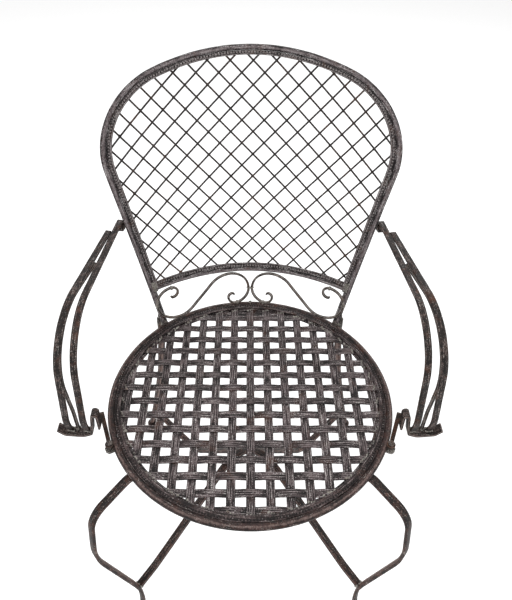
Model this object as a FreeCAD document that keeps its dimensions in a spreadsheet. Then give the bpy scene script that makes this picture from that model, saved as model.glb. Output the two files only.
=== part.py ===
import FreeCAD, Part
import Sketcher
import math
import os

# Garden armchair bent and welded from steel bar: a round seat woven from flat
# strap, a balloon back with a wire lattice, open arms and four splayed legs.
# The origin is on the floor under the middle of the chair. +X is the chair's
# right as it faces the viewer, +Y is its back, +Z is up.

Vector = FreeCAD.Vector
UP = Vector(0, 0, 1)

doc = FreeCAD.newDocument("garden_armchair")
sheet = doc.addObject("Spreadsheet::Sheet", "sizes")

DIMENSIONS = {
    "seat_height": 450,
    "seat_setback": 62,
    "seat_radius": 210,
    "rim_width": 10,
    "rim_height": 7,
    "rim_ridge": 2.5,
    "rim_drop": 3,
    "edge_band_width": 9,
    "edge_band_thickness": 1.5,
    "strap_width": 12,
    "strap_thickness": 1.4,
    "strap_clearance": 0.1,
    "lengthwise_pitch": 26.1,
    "lengthwise_count": 15,
    "crosswise_pitch": 25.2,
    "crosswise_count": 16,
    "crosswise_shift": 5.1,
    "fit_gap": 0.3,
    "back_inset": 24.4,
    "back_rake": 19.65,
    "back_curve_radius": 324,
    "bow_rise": 428.8,
    "bow_foot": -6.75,
    "bow_crown_radius": 332.8,
    "bow_shoulder_radius": 126.4,
    "bow_shoulder_spread": 89.1,
    "bow_side_angle": 14.05,
    "bow_bar_width": 8.5,
    "bow_bar_front": 6,
    "bow_bar_rear": 3,
    "back_band_width": 6.5,
    "back_band_thickness": 2.7,
    "rail_rise": 83.25,
    "rail_radius": 586,
    "rail_bar_width": 7.5,
    "rail_band_width": 8,
    "wire_size": 2.8,
    "wire_layer_gap": 0.2,
    "wire_setback": 0.3,
    "lattice_pitch": 34.3,
    "lattice_base": 303.05,
    "lattice_shift": 2.4,
    "bend_step": 18,
    "scroll_rod": 4,
    "scroll_turn": 25.8,
    "scroll_reach": 3.8,
    "scroll_lean": 6,
    "scroll_eye_place": 29.6,
    "arm_bar_width": 9,
    "arm_bar_thickness": 5,
    "arm_bar_ridge": 1,
    "arm_head_gap": 8.2,
    "arm_head_rise": 187,
    "arm_front_rise": 201,
    "arm_front": 66,
    "arm_inner_landing": 15.9,
    "arm_inner_lean": 1.05,
    "arm_outer_landing": 39.4,
    "arm_outer_lean": 1.9,
    "arm_outer_start": 27,
    "arm_rod": 4.5,
    "arm_rod_landing": 30.5,
    "arm_rod_lean": -2.6,
    "arm_rod_start": 103,
    "arm_rod_offset": 10,
    "foot_strap_width": 15,
    "foot_strap_thickness": 3,
    "foot_strap_hump": 54,
    "foot_strap_trough": 10,
    "foot_strap_inset": 71,
    "rim_tab_width": 6,
    "rim_tab_thickness": 3,
    "rim_tab_angle": 20,
    "leg_width": 12.5,
    "leg_thickness": 6,
    "leg_ridge": 1.5,
    "front_leg_angle": 39.4,
    "rear_leg_angle": 59.5,
    "ear_bolt_rise": 12,
    "ear_plate_width": 16,
    "ear_plate_height": 36,
    "ear_plate_thickness": 3.5,
    "ear_plate_gap": 6.7,
    "stretcher_width": 12,
    "stretcher_thickness": 6,
    "foot_radius": 11,
    "foot_height": 8,
    "bolt_shank": 5,
    "bolt_head": 9,
    "bolt_head_height": 3,
    "bolt_clearance": 0.4,
    "pin_shank": 4.4,
    "nut_size": 8,
    "nut_height": 4,
    "button_radius": 3,
    "button_height": 4,
}

for row, (alias, value) in enumerate(DIMENSIONS.items(), start=1):
    sheet.set("A%d" % row, alias)
    sheet.set("B%d" % row, str(value))
    sheet.setAlias("B%d" % row, alias)
doc.recompute()


class Sizes:
    """The sheet's cells, read back by their aliases."""

    def __getattr__(self, alias):
        return float(sheet.get(alias))


size = Sizes()
SEAT = Vector(0, -size.seat_setback, size.seat_height)
nodes = []


def keep(piece, label):
    """Name a finished piece and list it for export."""
    piece.Label = label
    nodes.append(piece)
    return piece


def mirrored(piece, label):
    """The same piece for the chair's left side."""
    twin = doc.addObject("Part::Mirroring", label)
    twin.Source = piece
    twin.Base = Vector(0, 0, 0)
    twin.Normal = Vector(1, 0, 0)
    return keep(twin, label)


def origin_plane(body, role):
    """One of a body's own three planes."""
    return [item for item in body.Origin.OriginFeatures if item.Role == role][0]


def new_sketch(body, role, name):
    """A sketch on one of a body's own planes."""
    sketch = body.newObject("Sketcher::SketchObject", name)
    sketch.AttachmentSupport = [(origin_plane(body, role), "")]
    sketch.MapMode = "FlatFace"
    return sketch


def bind(sketch, constraint, expression):
    """Add a dimension to a sketch and tie it to the sheet."""
    index = sketch.addConstraint(constraint)
    sketch.setExpression("Constraints[%d]" % index, expression)


def add_circle(sketch, radius, expression):
    """A circle about the sketch's origin, its radius tied to the sheet."""
    circle = sketch.addGeometry(Part.Circle(Vector(0, 0, 0), UP, radius), False)
    sketch.addConstraint(Sketcher.Constraint("Coincident", circle, 3, -1, 1))
    bind(sketch, Sketcher.Constraint("Radius", circle, radius), expression)


def add_polygon(sketch, points):
    """A closed outline of straight lines; returns the first line's index."""
    first = len(sketch.Geometry)
    count = len(points)
    for index in range(count):
        line = Part.LineSegment(points[index], points[(index + 1) % count])
        sketch.addGeometry(line, False)
    for index in range(count):
        following = first + (index + 1) % count
        sketch.addConstraint(Sketcher.Constraint("Coincident", first + index, 2, following, 1))
    return first


def pad(body, sketch, length, expression, name):
    """Pad a sketch by a length that the sheet drives."""
    feature = body.newObject("PartDesign::Pad", name)
    feature.Profile = sketch
    feature.Length = length
    feature.setExpression("Length", expression)
    return feature


def frame_placement(origin, first, third):
    """A placement from its origin and the directions of its X and Z axes."""
    second = third.cross(first)
    matrix = FreeCAD.Matrix(
        first.x, second.x, third.x, origin.x,
        first.y, second.y, third.y, origin.y,
        first.z, second.z, third.z, origin.z,
        0, 0, 0, 1,
    )
    return FreeCAD.Placement(matrix)


def heading(angle):
    """A flat unit direction, in degrees from +X towards +Y."""
    return Vector(math.cos(math.radians(angle)), math.sin(math.radians(angle)), 0)


def bent_path(corners):
    """Edges through corners (u, w, radius), each corner rounded by its arc."""
    points = [Vector(u, w, 0) for u, w, radius in corners]
    edges = []
    start = points[0]
    for index in range(1, len(points) - 1):
        corner = points[index]
        back = (points[index - 1] - corner).normalize()
        ahead = (points[index + 1] - corner).normalize()
        half = back.getAngle(ahead) / 2
        radius = corners[index][2]
        reach = radius / math.tan(half)
        middle = (back + ahead).normalize()
        begin = corner + back * reach
        end = corner + ahead * reach
        crest = corner + middle * (radius / math.sin(half) - radius)
        if (begin - start).Length > 0.001:
            edges.append(Part.LineSegment(start, begin))
        edges.append(Part.Arc(begin, crest, end))
        start = end
    edges.append(Part.LineSegment(start, points[-1]))
    return edges


def turned_path(start, angle, steps, bend_step):
    """Edges of a run from start: (length,) or (radius, turn), turned in short steps."""
    edges = []
    here = start
    for step in steps:
        ahead = heading(angle)
        if len(step) == 1:
            there = here + ahead * step[0]
            edges.append(Part.LineSegment(here, there))
        else:
            radius, turn = step
            side = 1 if turn > 0 else -1
            centre = here + heading(angle + 90 * side) * radius
            count = max(1, round(abs(turn) / bend_step))
            for index in range(1, count + 1):
                swung = angle + turn * index / count - 90 * side
                there = centre + heading(swung) * radius
                edges.append(Part.LineSegment(here, there))
                here = there
            angle += turn
        here = there
    return edges


def ridged_section(sketch, width, thickness, ridge, alias):
    """Flat bar with a low ridge along the middle of its outer face."""
    edge = thickness / 2 - ridge
    points = [
        Vector(-thickness / 2, -width / 2, 0),
        Vector(-thickness / 2, width / 2, 0),
        Vector(edge, width / 2, 0),
        Vector(thickness / 2, 0, 0),
        Vector(edge, -width / 2, 0),
    ]
    first = add_polygon(sketch, points)
    bind(sketch, Sketcher.Constraint("DistanceY", first, 1, first, 2, width), "sizes." + alias)


def flat_section(sketch, width, thickness, alias):
    """Plain rectangular bar or strap."""
    points = [
        Vector(-thickness / 2, -width / 2, 0),
        Vector(-thickness / 2, width / 2, 0),
        Vector(thickness / 2, width / 2, 0),
        Vector(thickness / 2, -width / 2, 0),
    ]
    first = add_polygon(sketch, points)
    bind(sketch, Sketcher.Constraint("DistanceY", first, 1, first, 2, width), "sizes." + alias)


def bent_bar(label, edges, origin, across, upright, draw_section):
    """Sweep a section along a flat path drawn in the plane (across, upright)."""
    first_edge = edges[0]
    start = first_edge.StartPoint
    ahead = first_edge.tangent(first_edge.FirstParameter)[0]
    side = Vector(ahead.y, -ahead.x, 0)
    body = doc.addObject("PartDesign::Body", label)
    path = new_sketch(body, "XZ_Plane", label + "_path")
    straighten = FreeCAD.Matrix(
        side.x, side.y, 0, -side.dot(start),
        ahead.x, ahead.y, 0, -ahead.dot(start),
        0, 0, 1, 0,
        0, 0, 0, 1,
    )
    for edge in edges:
        local = edge.copy()
        local.transform(straighten)
        path.addGeometry(local, False)
    section = new_sketch(body, "XY_Plane", label + "_section")
    draw_section(section)
    doc.recompute()
    bar = body.newObject("PartDesign::AdditivePipe", label + "_bar")
    bar.Profile = section
    bar.Spine = path
    bar.Transition = "Right corner"
    place = origin + across * start.x + upright * start.y
    first = across * side.x + upright * side.y
    third = across * ahead.x + upright * ahead.y
    body.Placement = frame_placement(place, first, third)
    return body


# Seat rim: a ridged bar bent edgewise into a hoop and welded shut.
rim_body = doc.addObject("PartDesign::Body", "seat_rim")
rim_section = new_sketch(rim_body, "XZ_Plane", "rim_section")
rim_inner = size.seat_radius - size.rim_width
rim_top = size.rim_height - size.rim_drop
rim_points = [
    Vector(rim_inner, -size.rim_drop, 0),
    Vector(size.seat_radius, -size.rim_drop, 0),
    Vector(size.seat_radius, rim_top - size.rim_ridge, 0),
    Vector(size.seat_radius - size.rim_width / 3, rim_top, 0),
    Vector(size.seat_radius - size.rim_width * 2 / 3, rim_top, 0),
    Vector(rim_inner, rim_top - size.rim_ridge, 0),
]
rim_first = add_polygon(rim_section, rim_points)
bind(
    rim_section,
    Sketcher.Constraint("DistanceX", rim_first, 1, rim_first, 2, size.rim_width),
    "sizes.rim_width",
)
doc.recompute()
rim_turn = rim_body.newObject("PartDesign::Revolution", "rim_turn")
rim_turn.Profile = rim_section
rim_turn.ReferenceAxis = (rim_section, ["V_Axis"])
rim_turn.Angle = 360
rim_body.Placement = FreeCAD.Placement(SEAT, FreeCAD.Rotation())
keep(rim_body, "seat_rim")

# Edge band: the flat stamped ring inside the rim that covers the strap ends.
free_share = 2 - size.strap_width / size.lengthwise_pitch - size.strap_width / size.crosswise_pitch
weave_rise = (size.strap_thickness + size.strap_clearance) / free_share
weave_top = weave_rise + size.strap_thickness / 2
band_body = doc.addObject("PartDesign::Body", "seat_edge_band")
band_outline = new_sketch(band_body, "XY_Plane", "band_outline")
band_outer = rim_inner - size.fit_gap / 3
add_circle(band_outline, band_outer, "sizes.seat_radius - sizes.rim_width - sizes.fit_gap / 3")
add_circle(
    band_outline,
    band_outer - size.edge_band_width,
    "sizes.seat_radius - sizes.rim_width - sizes.fit_gap / 3 - sizes.edge_band_width",
)
pad(band_body, band_outline, size.edge_band_thickness, "sizes.edge_band_thickness", "band_pad")
band_body.Placement = FreeCAD.Placement(
    SEAT + UP * (weave_top + size.fit_gap / 3), FreeCAD.Rotation()
)
keep(band_body, "seat_edge_band")


def woven_strap(offset, own_crossings, phase, reach):
    """One strap along Y at X = offset, over and under the straps it crosses."""
    stations = []
    for index, place in enumerate(own_crossings):
        stations.append((place, weave_rise if (index + phase) % 2 == 0 else -weave_rise))
    half = size.strap_thickness / 2
    upper = [Vector(0, place, level + half) for place, level in stations]
    lower = [Vector(0, place, level - half) for place, level in reversed(stations)]
    outline = Part.Face(Part.makePolygon(upper + lower + [upper[0]]))
    strap = outline.extrude(Vector(size.strap_width, 0, 0))
    strap.translate(Vector(offset - size.strap_width / 2, 0, 0))
    disc = Part.makeCylinder(reach, 8 * size.strap_thickness, Vector(0, 0, -4 * size.strap_thickness))
    return strap.common(disc)


def crossings(count, pitch, shift):
    """Strap middles of one direction, from one side of the seat to the other."""
    middle = (count - 1) / 2
    return [(index - middle) * pitch + shift for index in range(int(count))]


def strap_group(label, own, other, phase_start, turn):
    """All straps of one direction, in one node of separate solids."""
    reach = rim_inner - size.fit_gap
    straps = []
    pitch = other[1] - other[0]
    spread = [other[0] - pitch] + other + [other[-1] + pitch]
    while min(-spread[0], spread[-1]) < reach:
        spread = [spread[0] - 2 * pitch, spread[0] - pitch] + spread
        spread += [spread[-1] + pitch, spread[-1] + 2 * pitch]
    for index, offset in enumerate(own):
        straps.append(woven_strap(offset, spread, index + phase_start, reach))
    group = Part.makeCompound([solid for strap in straps for solid in strap.Solids])
    if turn:
        group = group.mirror(Vector(0, 0, 0), Vector(1, -1, 0))
    piece = doc.addObject("Part::Feature", label)
    piece.Shape = group
    piece.Placement = FreeCAD.Placement(SEAT, FreeCAD.Rotation())
    return keep(piece, label)


# Woven seat: flat straps in two directions, each over one and under the next.
lengthwise = crossings(size.lengthwise_count, size.lengthwise_pitch, 0)
crosswise = crossings(size.crosswise_count, size.crosswise_pitch, size.crosswise_shift)
strap_group("seat_straps_lengthwise", lengthwise, crosswise, 0, False)
strap_group("seat_straps_crosswise", crosswise, lengthwise, 1, True)

# The back is drawn upright and flat as (x, t), pressed to a cylinder about a
# vertical axis in front of it, then raked about the seat's own level.
back_offset = size.seat_radius - size.back_inset
BACK = FreeCAD.Placement(
    SEAT + Vector(0, back_offset, 0),
    FreeCAD.Rotation(Vector(1, 0, 0), -size.back_rake),
)
shell_low = -0.3 * size.bow_rise
shell_height = 1.6 * size.bow_rise
crown_middle = size.bow_rise - size.bow_crown_radius
shoulder_rise = crown_middle + math.sqrt(
    (size.bow_crown_radius - size.bow_shoulder_radius) ** 2 - size.bow_shoulder_spread ** 2
)
crown_angle = math.degrees(math.atan2(shoulder_rise - crown_middle, size.bow_shoulder_spread))


def flat_point(x, rise):
    """A point of the flat drawing of the back."""
    return Vector(x, 0, rise)


def flat_arc(centre, radius, angles):
    """An arc of the flat drawing through three angles in degrees."""
    return Part.Arc(*[
        centre + Vector(math.cos(math.radians(a)), 0, math.sin(math.radians(a))) * radius
        for a in angles
    ]).toShape()


def bow_face(inset, foot):
    """The area inside the bow's outline, set in from its outer edge."""
    shoulder = size.bow_shoulder_radius - inset
    tilt = size.bow_side_angle
    right_centre = flat_point(size.bow_shoulder_spread, shoulder_rise)
    left_centre = flat_point(-size.bow_shoulder_spread, shoulder_rise)
    half_way = (crown_angle - tilt) / 2
    side_x = size.bow_shoulder_spread + shoulder * math.cos(math.radians(tilt))
    side_rise = shoulder_rise - shoulder * math.sin(math.radians(tilt))
    foot_x = side_x - (side_rise - foot) * math.tan(math.radians(tilt))
    edges = [
        Part.makeLine(flat_point(foot_x, foot), flat_point(side_x, side_rise)),
        flat_arc(right_centre, shoulder, (-tilt, half_way, crown_angle)),
        flat_arc(
            flat_point(0, crown_middle),
            size.bow_crown_radius - inset,
            (crown_angle, 90, 180 - crown_angle),
        ),
        flat_arc(left_centre, shoulder, (180 - crown_angle, 180 - half_way, 180 + tilt)),
        Part.makeLine(flat_point(-side_x, side_rise), flat_point(-foot_x, foot)),
        Part.makeLine(flat_point(-foot_x, foot), flat_point(foot_x, foot)),
    ]
    return Part.Face(Part.Wire(edges))


def rail_disc(shift):
    """The area under the rail's arched middle line, raised by a shift."""
    centre = flat_point(0, size.rail_rise - size.rail_radius)
    circle = Part.Circle(centre, Vector(0, -1, 0), size.rail_radius + shift)
    return Part.Face(Part.Wire(circle.toShape()))


def pressed_piece(label, face, front, rear):
    """A flat outline cut through the back's cylinder between two depths."""
    outline = doc.addObject("Part::Feature", label + "_outline")
    outline.Shape = face
    slab = doc.addObject("Part::Extrusion", label + "_slab")
    slab.Base = outline
    slab.Dir = Vector(0, -1, 0)
    slab.LengthFwd = size.back_curve_radius
    slab.LengthRev = size.bow_bar_rear * 2
    slab.Solid = True
    drums = []
    for name, depth in (("outer", rear), ("inner", front)):
        drum = doc.addObject("Part::Cylinder", "%s_%s" % (label, name))
        drum.setExpression("Radius", "sizes.back_curve_radius + (%s)" % depth)
        drum.Height = shell_height
        drum.Placement.Base = Vector(0, -size.back_curve_radius, shell_low)
        drums.append(drum)
    shell = doc.addObject("Part::Cut", label + "_shell")
    shell.Base, shell.Tool = drums
    piece = doc.addObject("Part::Common", label)
    piece.Base = slab
    piece.Tool = shell
    piece.Placement = BACK
    return piece


def flatten(shape):
    """The single face of a boolean of flat faces."""
    return Part.makeCompound(shape.Faces)


# Bow: one bar bent to the balloon outline; its feet stand on the seat rim.
bow_blank = pressed_piece(
    "back_bow_blank",
    flatten(bow_face(0, size.bow_foot).cut(bow_face(size.bow_bar_width, size.bow_foot - 1))),
    "-sizes.bow_bar_front",
    "sizes.bow_bar_rear",
)

# Bow band: thin stamped strip welded inside the bow's front edge.
band_front = "-sizes.bow_bar_front"
band_rear = "-sizes.bow_bar_front + sizes.back_band_thickness"
band_ring = bow_face(size.bow_bar_width, 0).cut(
    bow_face(size.bow_bar_width + size.back_band_width, -1)
)
bow_band = pressed_piece(
    "back_bow_band", flatten(band_ring.cut(rail_disc(0))), band_front, band_rear
)
keep(bow_band, "back_bow_band")

# Rail: arched bar between the bow's sides, with its own stamped strip above.
inside_bow = bow_face(size.bow_bar_width, 0)
inside_band = bow_face(size.bow_bar_width + size.back_band_width, 0)
rail_area = rail_disc(0).cut(rail_disc(-size.rail_bar_width)).common(inside_bow)
rail = pressed_piece("back_rail", flatten(rail_area), "-sizes.bow_bar_front", "sizes.bow_bar_rear")
keep(rail, "back_rail")
rail_band_area = rail_disc(size.rail_band_width).cut(rail_disc(0)).common(inside_band)
rail_band = pressed_piece("back_rail_band", flatten(rail_band_area), band_front, band_rear)
keep(rail_band, "back_rail_band")


def on_back(s, rise, depth):
    """A point of the upright back at arc length s, rise and depth behind it."""
    angle = s / size.back_curve_radius
    radius = size.back_curve_radius + depth
    return Vector(
        radius * math.sin(angle), radius * math.cos(angle) - size.back_curve_radius, rise
    )


def inside_lattice(s, rise):
    """True where a wire runs: inside the bow band and above the rail band."""
    inset = size.bow_bar_width + size.back_band_width / 2
    x = abs(size.back_curve_radius * math.sin(s / size.back_curve_radius))
    rail = math.hypot(x, rise - size.rail_rise + size.rail_radius)
    if rail < size.rail_radius + size.rail_band_width / 2:
        return False
    tilt = math.radians(size.bow_side_angle)
    from_side = (
        (x - size.bow_shoulder_spread) * math.cos(tilt) - (rise - shoulder_rise) * math.sin(tilt)
    )
    shoulder = math.hypot(x - size.bow_shoulder_spread, rise - shoulder_rise)
    direction = math.degrees(math.atan2(rise - shoulder_rise, x - size.bow_shoulder_spread))
    if -size.bow_side_angle <= direction <= crown_angle:
        return shoulder < size.bow_shoulder_radius - inset
    if rise > shoulder_rise:
        return math.hypot(x, rise - crown_middle) < size.bow_crown_radius - inset
    return from_side < size.bow_shoulder_radius - inset


def wire_limits(start, slope):
    """First and last s of one lattice wire, found in small steps."""
    step = 0.25
    steps = int(size.bow_crown_radius / step)
    inside = [
        k * step
        for k in range(-steps, steps)
        if inside_lattice(k * step, start + slope * k * step)
    ]
    return (inside[0], inside[-1]) if inside else (0, 0)


def lattice_wire(start, slope, depth):
    """A square wire along a 45 degree line of the curved back."""
    low, high = wire_limits(start, slope)
    if high - low < size.lattice_pitch / 2:
        return None
    spans = max(1, round((high - low) / size.lattice_pitch))
    half = size.wire_size / 2
    sections = []
    for index in range(spans + 1):
        s = low + (high - low) * index / spans
        angle = s / size.back_curve_radius
        middle = on_back(s, start + slope * s, depth)
        outward = Vector(math.sin(angle), math.cos(angle), 0) * half
        sideways = Vector(-math.cos(angle), math.sin(angle), slope) * (slope * half / math.sqrt(2))
        corners = [
            middle - outward - sideways,
            middle - outward + sideways,
            middle + outward + sideways,
            middle + outward - sideways,
        ]
        sections.append(Part.makePolygon(corners + corners[:1]))
    return Part.makeLoft(sections, True, True)


def lattice_group(label, slope, depth):
    """All the lattice wires that slope the same way, one layer of the back."""
    wires = []
    for index in range(-12, 13):
        start = size.lattice_base + size.lattice_pitch * index - slope * size.lattice_shift
        wire = lattice_wire(start, slope, depth)
        if wire:
            wires.append(wire)
    piece = doc.addObject("Part::Feature", label)
    piece.Shape = Part.makeCompound(wires)
    piece.Placement = BACK
    return keep(piece, label)


# Lattice: two layers of straight wire crossed on the slant and welded.
layer = (size.wire_size + size.wire_layer_gap) / 2
lattice_group("lattice_wires_rising_right", 1, size.wire_setback - layer)
lattice_group("lattice_wires_rising_left", -1, size.wire_setback + layer)


def bow_middle(height):
    """Middle of the bow's right side at a height above the seat."""
    rake = math.radians(size.back_rake)
    depth = (size.bow_bar_rear - size.bow_bar_front) / 2
    shoulder = size.bow_shoulder_radius - size.bow_bar_width / 2
    tilt = math.radians(size.bow_side_angle)
    rise = height
    for step in range(20):
        side_x = size.bow_shoulder_spread + shoulder * math.cos(tilt)
        side_rise = shoulder_rise - shoulder * math.sin(tilt)
        x = side_x - (side_rise - rise) * math.tan(tilt)
        radius = size.back_curve_radius + depth
        behind = math.sqrt(radius ** 2 - x ** 2) - size.back_curve_radius
        rise = (height + behind * math.sin(rake)) / math.cos(rake)
    return Vector(x, back_offset + rise * math.sin(rake) + behind * math.cos(rake), height)


def rail_underside(x):
    """Height above the seat of the rail's lower edge at X = x."""
    rise = (
        size.rail_rise - size.rail_radius
        + math.sqrt((size.rail_radius - size.rail_bar_width) ** 2 - x ** 2)
    )
    rake = math.radians(size.back_rake)
    behind = math.sqrt(size.back_curve_radius ** 2 - x ** 2) - size.back_curve_radius
    return rise * math.cos(rake) - behind * math.sin(rake)


# Scrolls: each S stands on the rim and carries the rail, in a plane that
# leans with the back and turns with the rim.
scroll_across = heading(size.scroll_turn)
scroll_behind = heading(90 + size.scroll_turn)
lean = math.radians(size.scroll_lean)
scroll_up = UP * math.cos(lean) + scroll_behind * math.sin(lean)
eye_radii = (4.2, 6.5, 15.5, 23)
tail_radii = (34, 27, 10, 9, 3)
scroll_bottom = rim_top + size.fit_gap + size.scroll_rod / 2
scroll_top_x = size.scroll_eye_place + 9
scroll_top = rail_underside(scroll_top_x) + 3 * size.fit_gap - size.scroll_rod / 2
scroll_height = (scroll_top - scroll_bottom) / math.cos(lean)
scroll_steps = [(radius, 90) for radius in eye_radii]
scroll_steps += [(scroll_height - eye_radii[3], 90), (38, 43), (51.6,), (36, -43)]
scroll_steps += [(radius, -90) for radius in tail_radii]
scroll_start = Vector(
    -size.scroll_eye_place,
    scroll_bottom + eye_radii[2] + eye_radii[1] - eye_radii[0],
    0,
)


def draw_scroll_rod(sketch):
    """Square rod that the scrolls are bent from."""
    flat_section(sketch, size.scroll_rod, size.scroll_rod, "scroll_rod")


scroll_left = bent_bar(
    "back_scroll_left",
    turned_path(scroll_start, 90, scroll_steps, size.bend_step),
    SEAT + Vector(0, size.seat_radius + size.scroll_reach, 0),
    scroll_across,
    scroll_up,
    draw_scroll_rod,
)
keep(scroll_left, "back_scroll_left")
mirrored(scroll_left, "back_scroll_right")


def draw_leg(sketch):
    """Half-oval leg bar with its ridge on the outside of the bend."""
    ridged_section(sketch, size.leg_width, size.leg_thickness, size.leg_ridge, "leg_width")


# Front legs: welded under the rim, bowed out at the knee, drawn in to the foot.
front_foot_reach = size.seat_radius + 36
front_out = heading(-size.front_leg_angle)
leg_end = size.foot_height - size.seat_height
front_start = -size.rim_drop - size.leg_thickness / 2 - size.fit_gap
front_corners = [
    (size.seat_radius - 7, front_start, 0),
    (size.seat_radius + 3, front_start, 20),
    (size.seat_radius + 63, 0.084 * leg_end, 45),
    (size.seat_radius + 74, 0.301 * leg_end, 130),
    (size.seat_radius + 16, 0.747 * leg_end, 200),
    (front_foot_reach, leg_end, 0),
]
front_leg = bent_bar("front_leg_right", bent_path(front_corners), SEAT, front_out, UP, draw_leg)
keep(front_leg, "front_leg_right")
mirrored(front_leg, "front_leg_left")

# Rear legs: sabre legs from the ear plates, splayed back and out.
ear_bolt_place = SEAT + bow_middle(size.ear_bolt_rise)
ear = ear_bolt_place - UP * size.ear_bolt_rise
rear_out = heading(size.rear_leg_angle)
rear_side = heading(size.rear_leg_angle + 90)
leg_start = size.ear_plate_gap + size.ear_plate_thickness + size.leg_thickness / 2 + size.fit_gap
rear_foot_reach = 152
rear_corners = [
    (leg_start, -2, 0),
    (leg_start, 0.043 * leg_end, 60),
    (0.27 * rear_foot_reach, 0.339 * leg_end, 400),
    (0.724 * rear_foot_reach, 0.769 * leg_end, 500),
    (rear_foot_reach, leg_end, 0),
]
rear_leg = bent_bar("rear_leg_right", bent_path(rear_corners), ear, rear_out, UP, draw_leg)
keep(rear_leg, "rear_leg_right")
mirrored(rear_leg, "rear_leg_left")


def turned_piece(label, outline, alias):
    """A piece turned about Z; the outline's first line runs out to a sheet size."""
    body = doc.addObject("PartDesign::Body", label)
    profile = new_sketch(body, "XZ_Plane", label + "_profile")
    points = [Vector(radius, height, 0) for radius, height in outline]
    first = add_polygon(profile, points)
    width = points[1].x - points[0].x
    bind(profile, Sketcher.Constraint("DistanceX", first, 1, first, 2, width), alias)
    doc.recompute()
    turn = body.newObject("PartDesign::Revolution", label + "_turn")
    turn.Profile = profile
    turn.ReferenceAxis = (profile, ["V_Axis"])
    turn.Angle = 360
    return body


def paired(piece, label):
    """A small piece and its twin on the other side, in one node."""
    twin = doc.addObject("Part::Mirroring", label + "_twin")
    twin.Source = piece
    twin.Normal = Vector(1, 0, 0)
    group = doc.addObject("Part::Compound", label)
    group.Links = [piece, twin]
    return keep(group, label)


# Feet: small round pads welded under the leg ends, a pair in each node.
foot_top = size.foot_height - 4 * size.fit_gap
foot_places = {
    "front_feet": SEAT + front_out * front_foot_reach,
    "rear_feet": ear + rear_out * rear_foot_reach,
}
for label, place in foot_places.items():
    foot = doc.addObject("PartDesign::Body", label + "_disc")
    foot_outline = new_sketch(foot, "XY_Plane", label + "_outline")
    add_circle(foot_outline, size.foot_radius, "sizes.foot_radius")
    pad(foot, foot_outline, foot_top, "sizes.foot_height - 4 * sizes.fit_gap", label + "_pad")
    foot.Placement = FreeCAD.Placement(Vector(place.x, place.y, 0), FreeCAD.Rotation())
    paired(foot, label)

# Ear plates: short upright plates bolted behind the bow's feet; the rear legs
# are welded to their outer faces.
ear_body = doc.addObject("PartDesign::Body", "ear_plate")
ear_outline = new_sketch(ear_body, "XY_Plane", "ear_outline")
half_plate = size.ear_plate_width / 2
ear_top = 5
ear_corner = 5
ear_first = add_polygon(ear_outline, [
    Vector(-half_plate, ear_top - size.ear_plate_height, 0),
    Vector(half_plate, ear_top - size.ear_plate_height, 0),
    Vector(half_plate, ear_top - ear_corner, 0),
    Vector(half_plate - ear_corner, ear_top, 0),
    Vector(ear_corner - half_plate, ear_top, 0),
    Vector(-half_plate, ear_top - ear_corner, 0),
])
bind(
    ear_outline,
    Sketcher.Constraint("DistanceX", ear_first, 1, ear_first, 2, size.ear_plate_width),
    "sizes.ear_plate_width",
)
hole_radius = size.bolt_shank / 2 + size.bolt_clearance / 2
hole_expression = "sizes.bolt_shank / 2 + sizes.bolt_clearance / 2"
add_circle(ear_outline, hole_radius, hole_expression)
pad(ear_body, ear_outline, size.ear_plate_thickness, "sizes.ear_plate_thickness", "ear_pad")
ear_body.Placement = frame_placement(
    ear_bolt_place + rear_out * size.ear_plate_gap, rear_side, rear_out
)
paired(ear_body, "ear_plates")

# The ear bolts pass through the bow's feet, so the bow is drilled there.
drills = []
for side in (1, -1):
    drill = doc.addObject("Part::Cylinder", "ear_drill")
    drill.setExpression("Radius", hole_expression)
    drill.Height = 6 * size.bolt_shank
    place = Vector(side * ear_bolt_place.x, ear_bolt_place.y, ear_bolt_place.z)
    direction = Vector(side * rear_out.x, rear_out.y, 0)
    drill.Placement = frame_placement(place - direction * (3 * size.bolt_shank), UP, direction)
    drills.append(drill)
drill_pair = doc.addObject("Part::Compound", "ear_drills")
drill_pair.Links = drills
drilled_bow = doc.addObject("Part::Cut", "back_bow")
drilled_bow.Base = bow_blank
drilled_bow.Tool = drill_pair
keep(drilled_bow, "back_bow")


def bolt(label, grip):
    """A round-headed bolt along +Z, its head's underside at the origin."""
    shank = size.bolt_shank / 2
    head = size.bolt_head / 2
    end = grip + size.nut_height + size.fit_gap + 1
    outline = [
        (0, end),
        (shank, end),
        (shank, 0),
        (head, 0),
        (head, -size.bolt_head_height),
        (0, -size.bolt_head_height),
    ]
    return turned_piece(label, outline, "sizes.bolt_shank / 2")


def hex_nut(label):
    """A hexagon nut along +Z, seated at the origin."""
    body = doc.addObject("PartDesign::Body", label)
    outline = new_sketch(body, "XY_Plane", label + "_outline")
    corner = size.nut_size / 2 / math.cos(math.radians(30))
    add_polygon(outline, [heading(60 * index) * corner for index in range(6)])
    add_circle(outline, size.bolt_shank / 2 + 0.05, "sizes.bolt_shank / 2 + 0.05")
    pad(body, outline, size.nut_height, "sizes.nut_height", label + "_pad")
    return body


# Ear bolts: heads in front of the bow's feet, nuts behind the ear plates.
rake = math.radians(size.back_rake)
bow_half_depth = (
    (size.bow_bar_front + size.bow_bar_rear) / 2 / math.cos(rake)
    + size.bolt_head / 2 * math.tan(rake)
    + size.fit_gap
)
ear_grip = bow_half_depth + size.ear_plate_gap + size.ear_plate_thickness + size.fit_gap
ear_bolt = bolt("ear_bolt", ear_grip)
ear_bolt.Placement = frame_placement(ear_bolt_place - rear_out * bow_half_depth, UP, rear_out)
paired(ear_bolt, "ear_bolts")
ear_nut = hex_nut("ear_nut")
ear_nut.Placement = frame_placement(
    ear_bolt_place + rear_out * (ear_grip - bow_half_depth), UP, rear_out
)
paired(ear_nut, "ear_nuts")

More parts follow.
